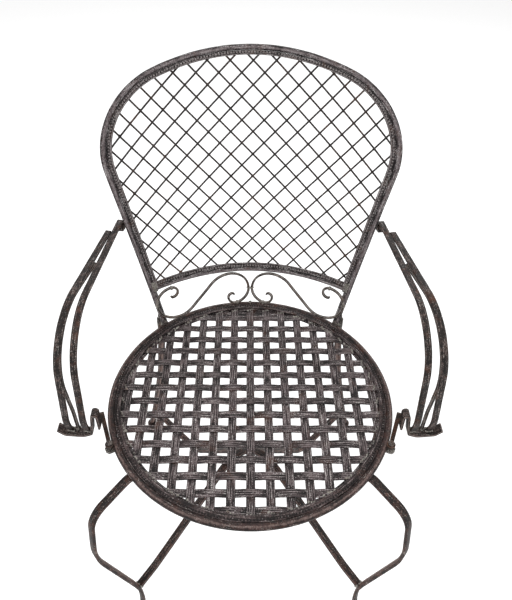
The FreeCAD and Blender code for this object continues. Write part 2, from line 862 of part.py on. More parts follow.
# Stretchers: two arched bars cross under the seat; one runs through, the
# other is cut in two and welded to its sides.
stretcher_rear_drop = -0.817 * leg_end
stretcher_front_drop = -0.681 * leg_end
rear_reach = 0.786 * rear_foot_reach
front_reach = front_foot_reach - 10
rear_joint = ear + rear_out * rear_reach
front_joint = SEAT + front_out * front_reach
rear_joint = Vector(-rear_joint.x, rear_joint.y, size.seat_height)
front_joint = Vector(front_joint.x, front_joint.y, size.seat_height)
along = Vector(front_joint - rear_joint).normalize()
crossing = rear_joint + along * (-rear_joint.x / along.x)
rear_run = (crossing - rear_joint).Length
front_run = (front_joint - crossing).Length
half_leg = size.leg_thickness / 2
stretcher_corners = [
    (half_leg + 2.5 - rear_run, -stretcher_rear_drop, 0),
    (-0.5226 * rear_run, -stretcher_rear_drop - 3, 60),
    (34, 0.367 * leg_end, 50),
    (0.853 * front_run, 0.647 * leg_end, 120),
    (front_run - half_leg - 1.8, -stretcher_front_drop, 0),
]


def draw_stretcher(sketch):
    """Flat bar on its wide face."""
    flat_section(sketch, size.stretcher_width, size.stretcher_thickness, "stretcher_width")


through = bent_bar(
    "stretcher_through", bent_path(stretcher_corners), crossing, along, UP, draw_stretcher
)
keep(through, "stretcher_through")
crossed = doc.addObject("Part::Mirroring", "stretcher_crossed")
crossed.Source = through
crossed.Normal = Vector(1, 0, 0)
beside = Vector(-along.y, along.x, 0)
half_gap = size.stretcher_width / 2 + size.fit_gap / 3
for label, side in (("stretcher_rear_half", 1), ("stretcher_front_half", -1)):
    block = doc.addObject("Part::Box", label + "_side")
    block.Length = 2 * rear_run
    block.Width = 2 * rear_run
    block.Height = size.seat_height
    away = beside * side
    sideways = away.cross(UP)
    corner = crossing - UP * size.seat_height + away * half_gap - sideways * rear_run
    block.Placement = frame_placement(corner, sideways, UP)
    half = doc.addObject("Part::Common", label)
    half.Base = crossed
    half.Tool = block
    keep(half, label)


def arm_plane(turn, lean):
    """Directions of an arm bar's plane: forward, and up with the top leaning in."""
    forward = heading(turn - 90)
    inward = heading(turn + 180)
    tilt = math.radians(lean)
    return forward, UP * math.cos(tilt) + inward * math.sin(tilt)


def arm_base(head, lean):
    """Where an arm bar's plane meets the seat level, for a head at full height."""
    shift = size.arm_head_rise * math.tan(math.radians(lean))
    return Vector(head.x + shift, head.y, size.seat_height)


def arm_turn(head, lean, landing, reach):
    """The turn that brings a bar from its head to its landing beyond the rim."""
    drop = size.arm_head_rise - size.foot_strap_trough
    sideways = size.seat_radius + landing - head.x - drop * math.tan(math.radians(lean))
    return math.degrees(math.asin(sideways / reach))


def strap_level(middle, width):
    """Height that clears the foot strap's top across a bar's width."""
    ends = (middle - width / 2, middle + width / 2)
    levels = []
    for (low_x, low, unused), (high_x, high, bend) in zip(strap_corners, strap_corners[1:]):
        for x in ends + (low_x, high_x):
            if max(low_x, ends[0]) <= x <= min(high_x, ends[1]):
                levels.append(low + (high - low) * (x - low_x) / (high_x - low_x))
    return max(levels) + size.foot_strap_thickness / 2 + 4 * size.fit_gap


def draw_arm(sketch):
    """Flat arm bar, lightly ridged on top."""
    ridged_section(
        sketch, size.arm_bar_width, size.arm_bar_thickness, size.arm_bar_ridge, "arm_bar_width"
    )


def draw_arm_rod(sketch):
    """Thin rod between the two arm bars."""
    flat_section(sketch, size.arm_rod, size.arm_rod, "arm_rod")


# Foot straps: strap waved over a hump and a trough; the arm bars are welded
# into the trough.
strap_inner_x = size.seat_radius - 2.6
inner_landing = size.seat_radius + size.arm_inner_landing
outer_landing = size.seat_radius + size.arm_outer_landing
trough_end = inner_landing - size.arm_bar_width / 2 - 2.2
trough_rise = size.foot_strap_trough
strap_corners = [
    (strap_inner_x, size.foot_strap_hump - 28, 0),
    (strap_inner_x + 0.5, size.foot_strap_hump, 3.5),
    (strap_inner_x + 7.2, size.foot_strap_hump, 3.5),
    (trough_end, trough_rise + 4.8, 3.5),
    (trough_end + 0.41 * (outer_landing - trough_end), trough_rise - 0.2, 14),
    (outer_landing + size.arm_bar_width / 2 + 2.7, trough_rise + 2.8, 8),
    (outer_landing + size.arm_bar_width / 2 + 11.7, trough_rise + 12, 0),
]


def draw_foot_strap(sketch):
    """Flat strap."""
    flat_section(sketch, size.foot_strap_width, size.foot_strap_thickness, "foot_strap_width")


foot_strap = bent_bar(
    "arm_foot_strap_right",
    bent_path(strap_corners),
    SEAT - Vector(0, size.foot_strap_inset, 0),
    Vector(1, 0, 0),
    UP,
    draw_foot_strap,
)
keep(foot_strap, "arm_foot_strap_right")
mirrored(foot_strap, "arm_foot_strap_left")

# Arms: an inner and an outer bar run forward from the bow, then turn down to
# the foot strap; a thin rod follows the turn between them. The inner bar's
# rear end is rolled into an eye that is pinned to the bow.
eye_steps = [(5, -150), (6, -90), (7.5, -90)]
eye_middle_drop = 8
arm_joint = SEAT + bow_middle(size.arm_head_rise - eye_middle_drop)
inner_head = arm_joint + Vector(size.bow_bar_width / 2 + size.arm_head_gap, 0, 0)
arm_run = inner_head.y - SEAT.y + size.arm_front
inner_base = arm_base(inner_head, size.arm_inner_lean)
inner_turn = arm_turn(inner_head, size.arm_inner_lean, size.arm_inner_landing, arm_run + 6)
inner_forward, inner_up = arm_plane(inner_turn, size.arm_inner_lean)
inner_end = strap_level(inner_landing, size.arm_bar_width)
inner_corners = [
    (0, size.arm_head_rise, 0),
    (arm_run, size.arm_front_rise, 80),
    (arm_run + 15, 40, 60),
    (arm_run + 6, inner_end, 0),
]
slope = math.degrees(math.atan2(size.arm_front_rise - size.arm_head_rise, arm_run))
rolled = turned_path(Vector(0, 0, 0), slope + 330, eye_steps, size.bend_step)
roll_shift = Vector(0, size.arm_head_rise, 0) - rolled[-1].EndPoint
for edge in rolled:
    edge.translate(roll_shift)
arm_inner = bent_bar(
    "arm_inner_bar_right",
    rolled + bent_path(inner_corners),
    inner_base,
    inner_forward,
    inner_up,
    draw_arm,
)
keep(arm_inner, "arm_inner_bar_right")
mirrored(arm_inner, "arm_inner_bar_left")

beside_inner = heading(inner_turn) * (size.arm_bar_width + 3 * size.fit_gap)
outer_head = inner_head + inner_forward * size.arm_outer_start + beside_inner
outer_run = arm_run - size.arm_outer_start
outer_base = arm_base(outer_head, size.arm_outer_lean)
outer_turn = arm_turn(outer_head, size.arm_outer_lean, size.arm_outer_landing, outer_run + 6)
outer_forward, outer_up = arm_plane(outer_turn, size.arm_outer_lean)
outer_end = strap_level(outer_landing, size.arm_bar_width)
outer_corners = [
    (0, size.arm_head_rise + 1, 0),
    (outer_run, size.arm_front_rise, 80),
    (outer_run + 15, 40, 60),
    (outer_run + 6, outer_end, 0),
]
arm_outer = bent_bar(
    "arm_outer_bar_right", bent_path(outer_corners), outer_base, outer_forward, outer_up, draw_arm
)
keep(arm_outer, "arm_outer_bar_right")
mirrored(arm_outer, "arm_outer_bar_left")

beside_rod = heading(inner_turn) * size.arm_rod_offset
rod_head = inner_head + inner_forward * size.arm_rod_start + beside_rod
rod_run = rod_head.y - SEAT.y + size.arm_front
rod_base = arm_base(rod_head, size.arm_rod_lean)
rod_turn = arm_turn(rod_head, size.arm_rod_lean, size.arm_rod_landing, rod_run + 3)
rod_forward, rod_up = arm_plane(rod_turn, size.arm_rod_lean)
rod_end = strap_level(size.seat_radius + size.arm_rod_landing, size.arm_rod)
rod_corners = [
    (0, size.arm_head_rise, 0),
    (rod_run + 9, size.arm_front_rise - 8, 92),
    (rod_run + 2, 48, 60),
    (rod_run + 3, rod_end, 0),
]
arm_rod = bent_bar(
    "arm_rod_right", bent_path(rod_corners), rod_base, rod_forward, rod_up, draw_arm_rod
)
keep(arm_rod, "arm_rod_right")
mirrored(arm_rod, "arm_rod_left")

# Rim tabs: narrow straps with a bolt eye on the rim, rising to the hump.
tab_out = heading(-size.rim_tab_angle)
tab_along = heading(90 - size.rim_tab_angle)
tab_origin = SEAT + tab_out * (size.seat_radius + size.fit_gap + size.rim_tab_width / 2)
tab_level = rim_top + size.fit_gap + size.rim_tab_thickness / 2
tab_corners = [
    (-11, tab_level, 0),
    (-4, tab_level, 5),
    (6, size.foot_strap_hump - 4, 0),
]


def draw_rim_tab(sketch):
    """Narrow strap."""
    flat_section(sketch, size.rim_tab_width, size.rim_tab_thickness, "rim_tab_width")


rim_tab = bent_bar("arm_rim_tab", bent_path(tab_corners), tab_origin, tab_along, UP, draw_rim_tab)
eye_radius = 6
eye_shift = 5
doc.recompute()
eye_sketch = new_sketch(rim_tab, "YZ_Plane", "tab_eye")
for radius in (eye_radius, hole_radius):
    eye_sketch.addGeometry(Part.Circle(Vector(0, -eye_shift, 0), UP, radius), False)
eye_pad = pad(rim_tab, eye_sketch, size.rim_tab_thickness, "sizes.rim_tab_thickness", "eye_pad")
eye_pad.Midplane = True
paired(rim_tab, "arm_rim_tabs")

# Rim lugs: drilled plates welded under the rim for the arm bolts.
eye_place = tab_origin + tab_along * (tab_corners[0][0] - eye_shift)
lug_out = Vector(eye_place.x, eye_place.y - SEAT.y, 0).normalize()
lug_body = doc.addObject("PartDesign::Body", "arm_rim_lug")
lug_outline = new_sketch(lug_body, "XY_Plane", "lug_outline")
add_polygon(lug_outline, [
    Vector(-9, -7, 0), Vector(4, -7, 0), Vector(7, -3, 0),
    Vector(7, 3, 0), Vector(4, 7, 0), Vector(-9, 7, 0),
])
add_circle(lug_outline, hole_radius, hole_expression)
pad(lug_body, lug_outline, size.rim_tab_thickness, "sizes.rim_tab_thickness", "lug_pad")
lug_drop = size.rim_drop + size.fit_gap / 2 + size.rim_tab_thickness
lug_body.Placement = frame_placement(eye_place - UP * lug_drop, lug_out, UP)
paired(lug_body, "arm_rim_lugs")

tab_top = tab_level + size.rim_tab_thickness / 2 + size.fit_gap
rim_grip = tab_top + lug_drop + size.fit_gap
rim_bolt = bolt("arm_rim_bolt", rim_grip)
rim_bolt.Placement = frame_placement(eye_place + UP * tab_top, lug_out, UP * -1)
paired(rim_bolt, "arm_rim_bolts")
rim_nut = hex_nut("arm_rim_nut")
rim_nut.Placement = frame_placement(eye_place + UP * (tab_top - rim_grip), lug_out, UP * -1)
paired(rim_nut, "arm_rim_nuts")

# Arm pins: shouldered pins through the rolled eyes, welded to the bow's sides.
eye_middle = rolled[0].StartPoint + heading(slope + 240) * eye_steps[0][0]
eye_centre = inner_base + inner_forward * eye_middle.x + inner_up * eye_middle.y
pin_axis = inner_up.cross(inner_forward)
pin_head = size.bolt_head / 2
pin_shank = size.pin_shank / 2
half_eye = size.arm_bar_width / 2 + 2 * size.fit_gap
side_slant = math.tan(math.radians(size.bow_side_angle))
pin_reach = size.arm_head_gap - pin_head * side_slant - size.fit_gap
pin = turned_piece("arm_back_pin", [
    (0, -pin_reach),
    (pin_head, -pin_reach),
    (pin_head, -half_eye),
    (pin_shank, -half_eye),
    (pin_shank, half_eye),
    (pin_head, half_eye),
    (pin_head, half_eye + size.bolt_head_height),
    (0, half_eye + size.bolt_head_height),
], "sizes.bolt_head / 2")
pin.Placement = frame_placement(eye_centre, inner_up, pin_axis)
paired(pin, "arm_back_pins")

# Button: small round stud on the rim where the two scrolls meet.
button = doc.addObject("PartDesign::Body", "rim_button")
button_outline = new_sketch(button, "XY_Plane", "button_outline")
add_circle(button_outline, size.button_radius, "sizes.button_radius")
pad(button, button_outline, size.button_height, "sizes.button_height", "button_pad")
button.Placement = FreeCAD.Placement(
    SEAT + Vector(0, size.seat_radius - size.rim_width / 2, rim_top + size.fit_gap / 3),
    FreeCAD.Rotation(),
)
keep(button, "rim_button")

doc.recompute()
for piece in doc.Objects:
    if "Invalid" in piece.State or "Error" in piece.State:
        raise RuntimeError("%s failed: %s" % (piece.Label, piece.State))

os.makedirs("parts", exist_ok=True)
for piece in nodes:
    shape = piece.Shape
    if shape.isNull() or not shape.isValid():
        raise RuntimeError(piece.Label + " has no valid shape")
    shape.exportStep("parts/%s.step" % piece.Label)
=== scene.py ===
import bmesh
import bpy
import math
from mathutils import Matrix, Vector, noise


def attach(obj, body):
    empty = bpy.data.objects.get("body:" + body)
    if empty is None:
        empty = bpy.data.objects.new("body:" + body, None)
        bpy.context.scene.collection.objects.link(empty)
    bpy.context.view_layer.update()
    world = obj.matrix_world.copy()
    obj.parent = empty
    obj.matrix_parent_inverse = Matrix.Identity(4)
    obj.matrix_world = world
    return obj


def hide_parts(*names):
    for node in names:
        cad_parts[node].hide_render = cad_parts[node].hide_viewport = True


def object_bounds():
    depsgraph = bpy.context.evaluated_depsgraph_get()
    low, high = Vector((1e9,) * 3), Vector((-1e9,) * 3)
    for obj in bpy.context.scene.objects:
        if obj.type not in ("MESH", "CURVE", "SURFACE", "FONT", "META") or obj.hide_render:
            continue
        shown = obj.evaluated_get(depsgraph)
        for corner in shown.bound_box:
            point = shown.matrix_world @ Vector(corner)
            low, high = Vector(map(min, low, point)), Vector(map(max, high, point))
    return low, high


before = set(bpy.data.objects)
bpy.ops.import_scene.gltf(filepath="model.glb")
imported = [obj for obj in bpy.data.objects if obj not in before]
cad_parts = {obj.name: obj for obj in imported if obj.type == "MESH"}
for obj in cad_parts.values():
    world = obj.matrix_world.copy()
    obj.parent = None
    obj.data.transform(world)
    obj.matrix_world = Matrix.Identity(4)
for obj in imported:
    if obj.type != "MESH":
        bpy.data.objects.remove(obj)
cad_box = [list(corner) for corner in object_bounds()]


# Camera, at the photo's place and angle. The ellipse of the seat's rim fixes
# it, and its shift is the small one that the photo's framing needs.
def placed(name, data):
    """A new object of the scene, at the origin."""
    item = bpy.data.objects.new(name, data)
    bpy.context.collection.objects.link(item)
    return item


FRAME_HEIGHT = 600
camera_data = bpy.data.cameras.new("photo_camera")
camera_data.lens = 37.05
camera_data.sensor_width = 36
camera_data.shift_x = 3 / FRAME_HEIGHT
camera_data.shift_y = -10 / FRAME_HEIGHT
camera = placed("photo_camera", camera_data)
camera.matrix_world = Matrix((
    (0.999929, -0.003977, -0.011214, -0.007108),
    (-0.005787, 0.660957, -0.750402, -0.649689),
    (0.010397, 0.750414, 0.660887, 1.180842),
    (0, 0, 0, 1),
))
bpy.context.scene.camera = camera
bpy.context.scene.view_settings.view_transform = "Standard"

# Studio: a white sweep of painted board under soft lamps. It lies flat as the
# floor, keeps the chair's shadow, and reads as white paper to the camera.
MATH = "ShaderNodeMath"


def add(tree, kind, inputs=(), **settings):
    """Add a node with its settings, and its values and links by place or name."""
    node = tree.nodes.new(kind)
    for key, value in settings.items():
        setattr(node, key, value)
    named = inputs if isinstance(inputs, dict) else dict(enumerate(inputs))
    for key, value in named.items():
        if isinstance(value, bpy.types.Node):
            value = value.outputs[0]
        if isinstance(value, bpy.types.NodeSocket):
            tree.links.new(value, node.inputs[key])
        else:
            node.inputs[key].default_value = value
    return node


def hex_color(code):
    """An sRGB hex colour as the linear colour that the shaders take."""
    parts = [int(code[index:index + 2], 16) / 255 for index in (1, 3, 5)]
    linear = [p / 12.92 if p <= 0.04045 else ((p + 0.055) / 1.055) ** 2.4 for p in parts]
    return (*linear, 1)


def seen_rays(tree):
    """1 for the rays that the eye follows, also by gloss or glass, else 0."""
    rays = add(tree, "ShaderNodeLightPath").outputs
    seen = add(tree, MATH, (rays["Is Camera Ray"], rays["Is Glossy Ray"]), operation="MAXIMUM")
    return add(tree, MATH, (seen, rays["Is Transmission Ray"]), operation="MAXIMUM")


FLOOR_HALF = 8
FLOOR_LIFT = 0.42
WORLD_LEVEL = 0.52
LAMP_AIM = Vector((0, -0.05, 0.5))
floor_mesh = bpy.data.meshes.new("studio_floor")
floor_corners = [(x * FLOOR_HALF, y * FLOOR_HALF, 0) for x in (-1, 1) for y in (-x, x)]
floor_mesh.from_pydata(floor_corners, [], [(0, 1, 2, 3)])
floor = placed("studio_floor", floor_mesh)
# Matt white board: soft and even, with a lift that only the eye's rays see.
floor_board = bpy.data.materials.new("matt_white_board")
floor_board.use_nodes = True
board = floor_board.node_tree
lift = add(board, MATH, (seen_rays(board), FLOOR_LIFT), operation="MULTIPLY")
board_shader = board.nodes["Principled BSDF"]
board_shader.inputs["Base Color"].default_value = hex_color("#ECECEC")
board_shader.inputs["Roughness"].default_value = 0.9
board_shader.inputs["Specular IOR Level"].default_value = 0.1
board_shader.inputs["Emission Color"].default_value = (1, 1, 1, 1)
board.links.new(lift.outputs[0], board_shader.inputs["Emission Strength"])
floor_mesh.materials.append(floor_board)
world = bpy.data.worlds.new("studio_world")
bpy.context.scene.world = world
world.use_nodes = True
sky = world.node_tree
level = add(sky, "ShaderNodeMapRange", {"Value": seen_rays(sky), "To Min": WORLD_LEVEL})
sky.nodes["Background"].inputs["Color"].default_value = (1, 1, 1, 1)
sky.links.new(level.outputs[0], sky.nodes["Background"].inputs["Strength"])
for lamp_name, lamp_place, lamp_size, lamp_power in (
    ("key_lamp", (-1.5, -1.5, 2.7), 1.5, 46),
    ("fill_lamp", (1.9, -0.9, 1.9), 1.6, 22),
    ("back_lamp", (0.3, 1.9, 2.3), 1.4, 24),
):
    lamp_data = bpy.data.lights.new(lamp_name, "AREA")
    lamp_data.size = lamp_size
    lamp_data.energy = lamp_power
    lamp = placed(lamp_name, lamp_data)
    lamp.location = lamp_place
    lamp.rotation_euler = (LAMP_AIM - lamp.location).to_track_quat("-Z", "Y").to_euler()

# Seat rim: half-oval mild steel bar, bent edgewise into a hoop and welded shut.
# The paint is a dark bronze, rubbed back along the crown, whose lighter line is partly a
# painted highlight; the sides and underside take painted shade.
MM = 0.001
SEAT = Vector((0, -62, 450))
UP = Vector((0, 0, 1))
RIM_RADIUS = 205
RIM_RINGS = 240
HAMMER_DEPTH = 0.16
HAMMER_SIZE = 13
HAMMER_SEED = 17
noise.seed_set(HAMMER_SEED)


def hammered(point, depth=HAMMER_DEPTH):
    """The point, moved a little, as uneven bar that was worked by hand."""
    return point + noise.noise_vector(point / HAMMER_SIZE) * depth


def reshape(mesh, work):
    """Do one job of mesh work, and return what the job gives."""
    shell = bmesh.new()
    shell.from_mesh(mesh)
    result = work(shell)
    shell.to_mesh(mesh)
    shell.free()
    return result


def mark(mesh, name, values, kind="FLOAT"):
    """Give a mesh's points an attribute."""
    key = "value" if kind == "FLOAT" else "vector"
    mesh.attributes.new(name, kind, "POINT").data.foreach_set(key, values)


def turn_outwards(shell):
    """Turn every face of a closed shell outwards."""
    bmesh.ops.recalc_face_normals(shell, faces=shell.faces)


def finished(name, mesh, sharp):
    """The object of a mesh, smooth but for the edges past an angle."""
    mesh.name = name
    mesh.shade_smooth()
    mesh.set_sharp_from_angle(angle=math.radians(sharp))
    return placed(name, mesh)


def loft(name, rings, ring_wear_and_shade, across, closed=False):
    """A skin over rings of points in mm, held in the CAD box, with its mark of wear and painted
    shade, and its grain.

    The ends are capped unless the rings close to a hoop.
    """
    size = len(rings[0])
    count = len(rings)
    low, high = cad_box
    points = [[min(max(value * MM, low[axis]), high[axis]) for axis, value in enumerate(point)]
              for ring in rings for point in ring]
    middles = [sum(ring, Vector()) / size for ring in rings]
    run = [0.0]
    for before, after in zip(middles, middles[1:]):
        run.append(run[-1] + (after - before).length)
    grain = [value for along in run for side in across for value in (along, side, 0)]
    faces = []
    for index in range(count if closed else count - 1):
        near, far = index * size, (index + 1) % count * size
        for place in range(size):
            after = (place + 1) % size
            faces.append((near + place, near + after, far + after, far + place))
    if not closed:
        faces.append(tuple(range(size)))
        faces.append(tuple(range((count - 1) * size, count * size)))
    mesh = bpy.data.meshes.new(name)
    mesh.from_pydata(points, [], faces)
    mark(mesh, "wear_and_shade", list(ring_wear_and_shade) * count)
    mark(mesh, "grain", grain, "FLOAT_VECTOR")
    reshape(mesh, turn_outwards)
    return finished(name, mesh, 50)


def skin(name, lines, section, depth=HAMMER_DEPTH, side=0, share=1, closed=False):
    """A skin that follows a line of points for each place (x, y, wear and painted shade) of a
    section.
    """
    rings = [[hammered(point, depth) for point in ring] for ring in zip(*lines)]
    wear_and_shade = [share * place[2] for place in section]
    return loft(name, rings, wear_and_shade, [place[side] for place in section], closed)


def round_seat(radius, z, begin=0.25):
    """Points once round the seat, from a share of a turn; the rear is a quarter."""
    turns = [2 * math.pi * (index / RIM_RINGS + begin) for index in range(RIM_RINGS)]
    return [SEAT + Vector((math.cos(a), math.sin(a), 0)) * radius + UP * z for a in turns]


def eased(corners, radius, steps=2):
    """A section in mm with rounded corners: (x, y, wear) round the outline."""
    outline = []
    count = len(corners)
    for index, corner in enumerate(corners):
        corner = Vector(corner)
        back = Vector(corners[index - 1]) - corner
        ahead = Vector(corners[(index + 1) % count]) - corner
        cut = min(radius, 0.48 * back.length, 0.48 * ahead.length)
        begin = corner + back.normalized() * cut
        end = corner + ahead.normalized() * cut
        for step in range(steps + 1):
            t = step / steps
            place = begin * (1 - t) ** 2 + corner * (2 * t * (1 - t)) + end * t ** 2
            outline.append((place.x, place.y, 1 - abs(2 * t - 1) * 0.9))
    return outline


SPECK = 1.4
SCRATCH_WIDTH = 1.5
SCRATCH_LENGTH = 26


def aged_paint(name, colours, blotch=16, mottle=4.4, cloud=1.0, drag=0.8, ridge=0.22,
               tone=(0.92, 1.22), stained=0.62, specked=0.62, rubbed_and_lit=0.5, pitting=0.12, metal=0.0):
    """Bronze paint over steel, rubbed, scratched, stained and speckled.

    Its colours are those of the hollows, the faces, rust, rubbing and specks. The
    hollows colour stands for dark paint in hollows and for painted shade, where the
    wear-and-shade mark is low. The patterns are in mm. Real specks are finer than
    these, which have to show.
    """
    ground, *layers = (hex_color(code) for code in colours.split())
    material = bpy.data.materials.new(name)
    material.use_nodes = True
    tree = material.node_tree
    shader = tree.nodes["Principled BSDF"]
    place = add(tree, "ShaderNodeTexCoord").outputs["Object"]
    place = add(tree, "ShaderNodeMapping", {0: place, "Scale": (1 / MM, 1 / MM, 1 / MM)})
    drawn = add(tree, "ShaderNodeAttribute", attribute_name="grain").outputs["Vector"]
    drawn = add(tree, "ShaderNodeMapping",
                {0: drawn, "Scale": (1 / SCRATCH_LENGTH, 1 / SCRATCH_WIDTH, 1)})
    wear_and_shade = add(tree, "ShaderNodeAttribute", attribute_name="wear_and_shade").outputs["Fac"]
    blotches, mottling, specks, rust, scratches = [
        add(tree, "ShaderNodeTexNoise", {"Vector": where, "Scale": scale, "Detail": detail,
                                         "Roughness": rough, "Distortion": bend})
        for where, scale, detail, rough, bend in (
            (place, 1 / blotch, 3, 0.55, 0),
            (place, 1 / mottle, 5, 0.68, 0),
            (place, 1 / SPECK, 2, 0.6, 0),
            (place, 0.7 / blotch, 4, 0.7, 0.6),
            (drawn, 1, 3, 0.6, 0),
        )
    ]
    dragged = add(tree, MATH, (scratches, 0.5), operation="SUBTRACT")
    mixed = 0.5 - 0.5 * cloud
    # The wear-and-shade mark lifts the faces colour over the hollows colour: painted highlight
    # along crowns, painted shade on sides, undersides and recesses.
    for pattern, gain in ((mottling, cloud), (blotches, 0.5), (specks, 0.45), (wear_and_shade, ridge),
                          (dragged, drag)):
        mixed = add(tree, MATH, (pattern, gain, mixed), operation="MULTIPLY_ADD")
    # The rubbed colour follows the same mark: rubbing on the crowns, partly a painted highlight.
    ragged = add(tree, MATH, (mottling, 1.5, wear_and_shade), operation="MULTIPLY_ADD")
    dusty = add(tree, MATH, (scratches, 0.5), operation="MULTIPLY")
    dusty = add(tree, MATH, (specks, 0.5, dusty), operation="MULTIPLY_ADD")
    colour = ground
    for layer, (pattern, begin, end, most) in zip(layers, (
        (mixed, *tone, 1),
        (rust, stained - 0.07, stained + 0.09, 0.8),
        (ragged, 1.75 - rubbed_and_lit, 2.35 - rubbed_and_lit, 0.85),
        (dusty, specked - 0.05, specked + 0.05, 0.9),
    )):
        share = add(tree, "ShaderNodeMapRange",
                    {"Value": pattern, "From Min": begin, "From Max": end, "To Max": most})
        colour = add(tree, "ShaderNodeMix", {0: share, 6: colour, 7: layer},
                     data_type="RGBA").outputs[2]
    rough = add(tree, "ShaderNodeMapRange", {"Value": mottling, "From Min": 0.3, "From Max": 0.7,
                                             "To Min": 0.46, "To Max": 0.74})
    height = add(tree, MATH, (specks, 0.3), operation="MULTIPLY")
    height = add(tree, MATH, (mottling, 0.7, height), operation="MULTIPLY_ADD")
    bump = add(tree, "ShaderNodeBump",
               {"Height": height, "Strength": 0.6, "Distance": pitting * 4 * MM})
    tree.links.new(colour, shader.inputs["Base Color"])
    tree.links.new(rough.outputs[0], shader.inputs["Roughness"])
    tree.links.new(bump.outputs[0], shader.inputs["Normal"])
    shader.inputs["Metallic"].default_value = metal
    shader.inputs["Specular IOR Level"].default_value = 0.24
    return material


def dress(piece, material, slot, *nodes):
    """Give a finished piece its paint and its body, and hide its CAD nodes. The slot is not used.
    """
    piece.data.materials.clear()
    piece.data.materials.append(material)
    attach(piece, "root")
    if nodes:
        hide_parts(*nodes)


# Bronze enamel where hands and legs rub the hoop: dark and reddish, with dull
# grey rubbing on the crown and small pale specks. It is darker than the bars'
# enamel as painted shade, since the lamps light the hoop fully from above.
rim_paint = aged_paint(
    "rubbed_bronze_on_hoop_darkened_as_shade", "#0C0706 #463330 #43281E #7D6C67 #B3ADA7",
    tone=(0.94, 1.3), rubbed_and_lit=0.3)
# Third numbers: the wear-and-shade mark, high on the outer crown as rubbing and painted highlight,
# low on the sides and underside as painted shade.
rim_section = [
    (-5, -3, 0), (-5, 0.9, 0.2), (-4.3, 2.1, 0.25), (-3, 3.1, 0.2), (-1.6, 3.7, 0.3),
    (0, 3.95, 0.6), (1.6, 3.7, 1), (3, 3.1, 0.9), (4.3, 2.1, 0.45), (5, 0.9, 0.2),
    (5, -2.2, 0), (4.2, -3, 0.1), (-4.2, -3, 0),
]
rim = skin(
    "rim_hoop", [round_seat(RIM_RADIUS + r, z) for r, z, w in rim_section], rim_section,
    closed=True)
dress(rim, rim_paint, "painted_bar", "seat_rim")


# Edge band: a flat steel ring welded inside the hoop over the strap ends. Small
# square teeth are stamped along its outer edge.
def geometry_tree(name, *numbers, **others):
    """A Geometry Nodes tree and its inputs: a mesh, numbers, others and a paint."""
    tree = bpy.data.node_groups.new(name, "GeometryNodeTree")
    kinds = {
        "Geometry": "Geometry", **dict.fromkeys(numbers, "Float"), **others, "Material": "Material"}
    for key, kind in kinds.items():
        tree.interface.new_socket(name=key, in_out="INPUT", socket_type="NodeSocket" + kind)
    tree.interface.new_socket(name="Geometry", in_out="OUTPUT", socket_type="NodeSocketGeometry")
    return tree, add(tree, "NodeGroupInput").outputs


def close_tree(tree, geometry, inputs):
    """End a tree in real geometry with its paint."""
    real = add(tree, "GeometryNodeRealizeInstances", (geometry,))
    real = add(tree, "GeometryNodeSetMaterial", {0: real, "Material": inputs["Material"]})
    add(tree, "NodeGroupOutput", (real,))


def applied(rough, name, sharp):
    """The plain mesh object that an object's modifier makes of it."""
    bpy.context.view_layer.update()
    graph = bpy.context.evaluated_depsgraph_get()
    made = bpy.data.meshes.new_from_object(rough.evaluated_get(graph))
    bpy.data.objects.remove(rough)
    return finished(name, made, sharp)


def grown(name, mesh, tree, paint, sharp=50, **values):
    """The plain mesh object that a Geometry Nodes tree makes from a mesh."""
    seed = placed(name + "_seed", mesh)
    modifier = seed.modifiers.new(tree.name, "NODES")
    modifier.node_group = tree
    values["Material"] = paint
    for item in tree.interface.items_tree:
        if item.name in values:
            modifier[item.identifier] = values[item.name]
    return applied(seed, name, sharp)


def stud_path(name, points, fronts, closed=False):
    """A line of points in mm for a row of studs, with the way each one faces."""
    mesh = bpy.data.meshes.new(name)
    count = len(points)
    edges = [(index, (index + 1) % count) for index in range(count if closed else count - 1)]
    mesh.from_pydata([point * MM for point in points], edges, [])
    mark(mesh, "front", [number for front in fronts for number in front], "FLOAT_VECTOR")
    return mesh


STORE = "GeometryNodeStoreNamedAttribute"
studs, stud = geometry_tree("row_of_stamped_studs", "Pitch", "Length", "Breadth", "Height")
line = add(studs, "GeometryNodeMeshToCurve", (stud["Geometry"],))
line = add(
    studs, "GeometryNodeResampleCurve", {"Curve": line, "Length": stud["Pitch"]}, mode="LENGTH")
front = add(studs, "GeometryNodeInputNamedAttribute", {"Name": "front"}, data_type="FLOAT_VECTOR")
facing = add(studs, "FunctionNodeAlignRotationToVector", {"Vector": front}, axis="Z")
along = add(studs, "GeometryNodeInputTangent")
facing = add(
    studs, "FunctionNodeAlignRotationToVector", {"Rotation": facing, "Vector": along}, axis="X",
    pivot_axis="Z")
extent = add(studs, "ShaderNodeCombineXYZ", (stud["Length"], stud["Breadth"], stud["Height"]))
block = add(studs, "GeometryNodeMeshCube", {"Size": extent})
block = add(
    studs, "GeometryNodeSubdivisionSurface", {"Mesh": block, "Level": 1, "Edge Crease": 0.45})
# Stud tops take the wear-and-shade mark: lighter, partly rubbing and partly painted highlight; the
# lower halves take the dark hollows colour as painted shade.
level = add(studs, "ShaderNodeSeparateXYZ", (add(studs, "GeometryNodeInputPosition"),)).outputs[2]
crest = add(studs, "FunctionNodeCompare", (level, 0.0), operation="GREATER_THAN")
block = add(
    studs, STORE, {"Geometry": block, "Name": "wear_and_shade", "Value": crest})
row = add(
    studs, "GeometryNodeInstanceOnPoints", {"Points": line, "Instance": block, "Rotation": facing})
close_tree(studs, row, stud)

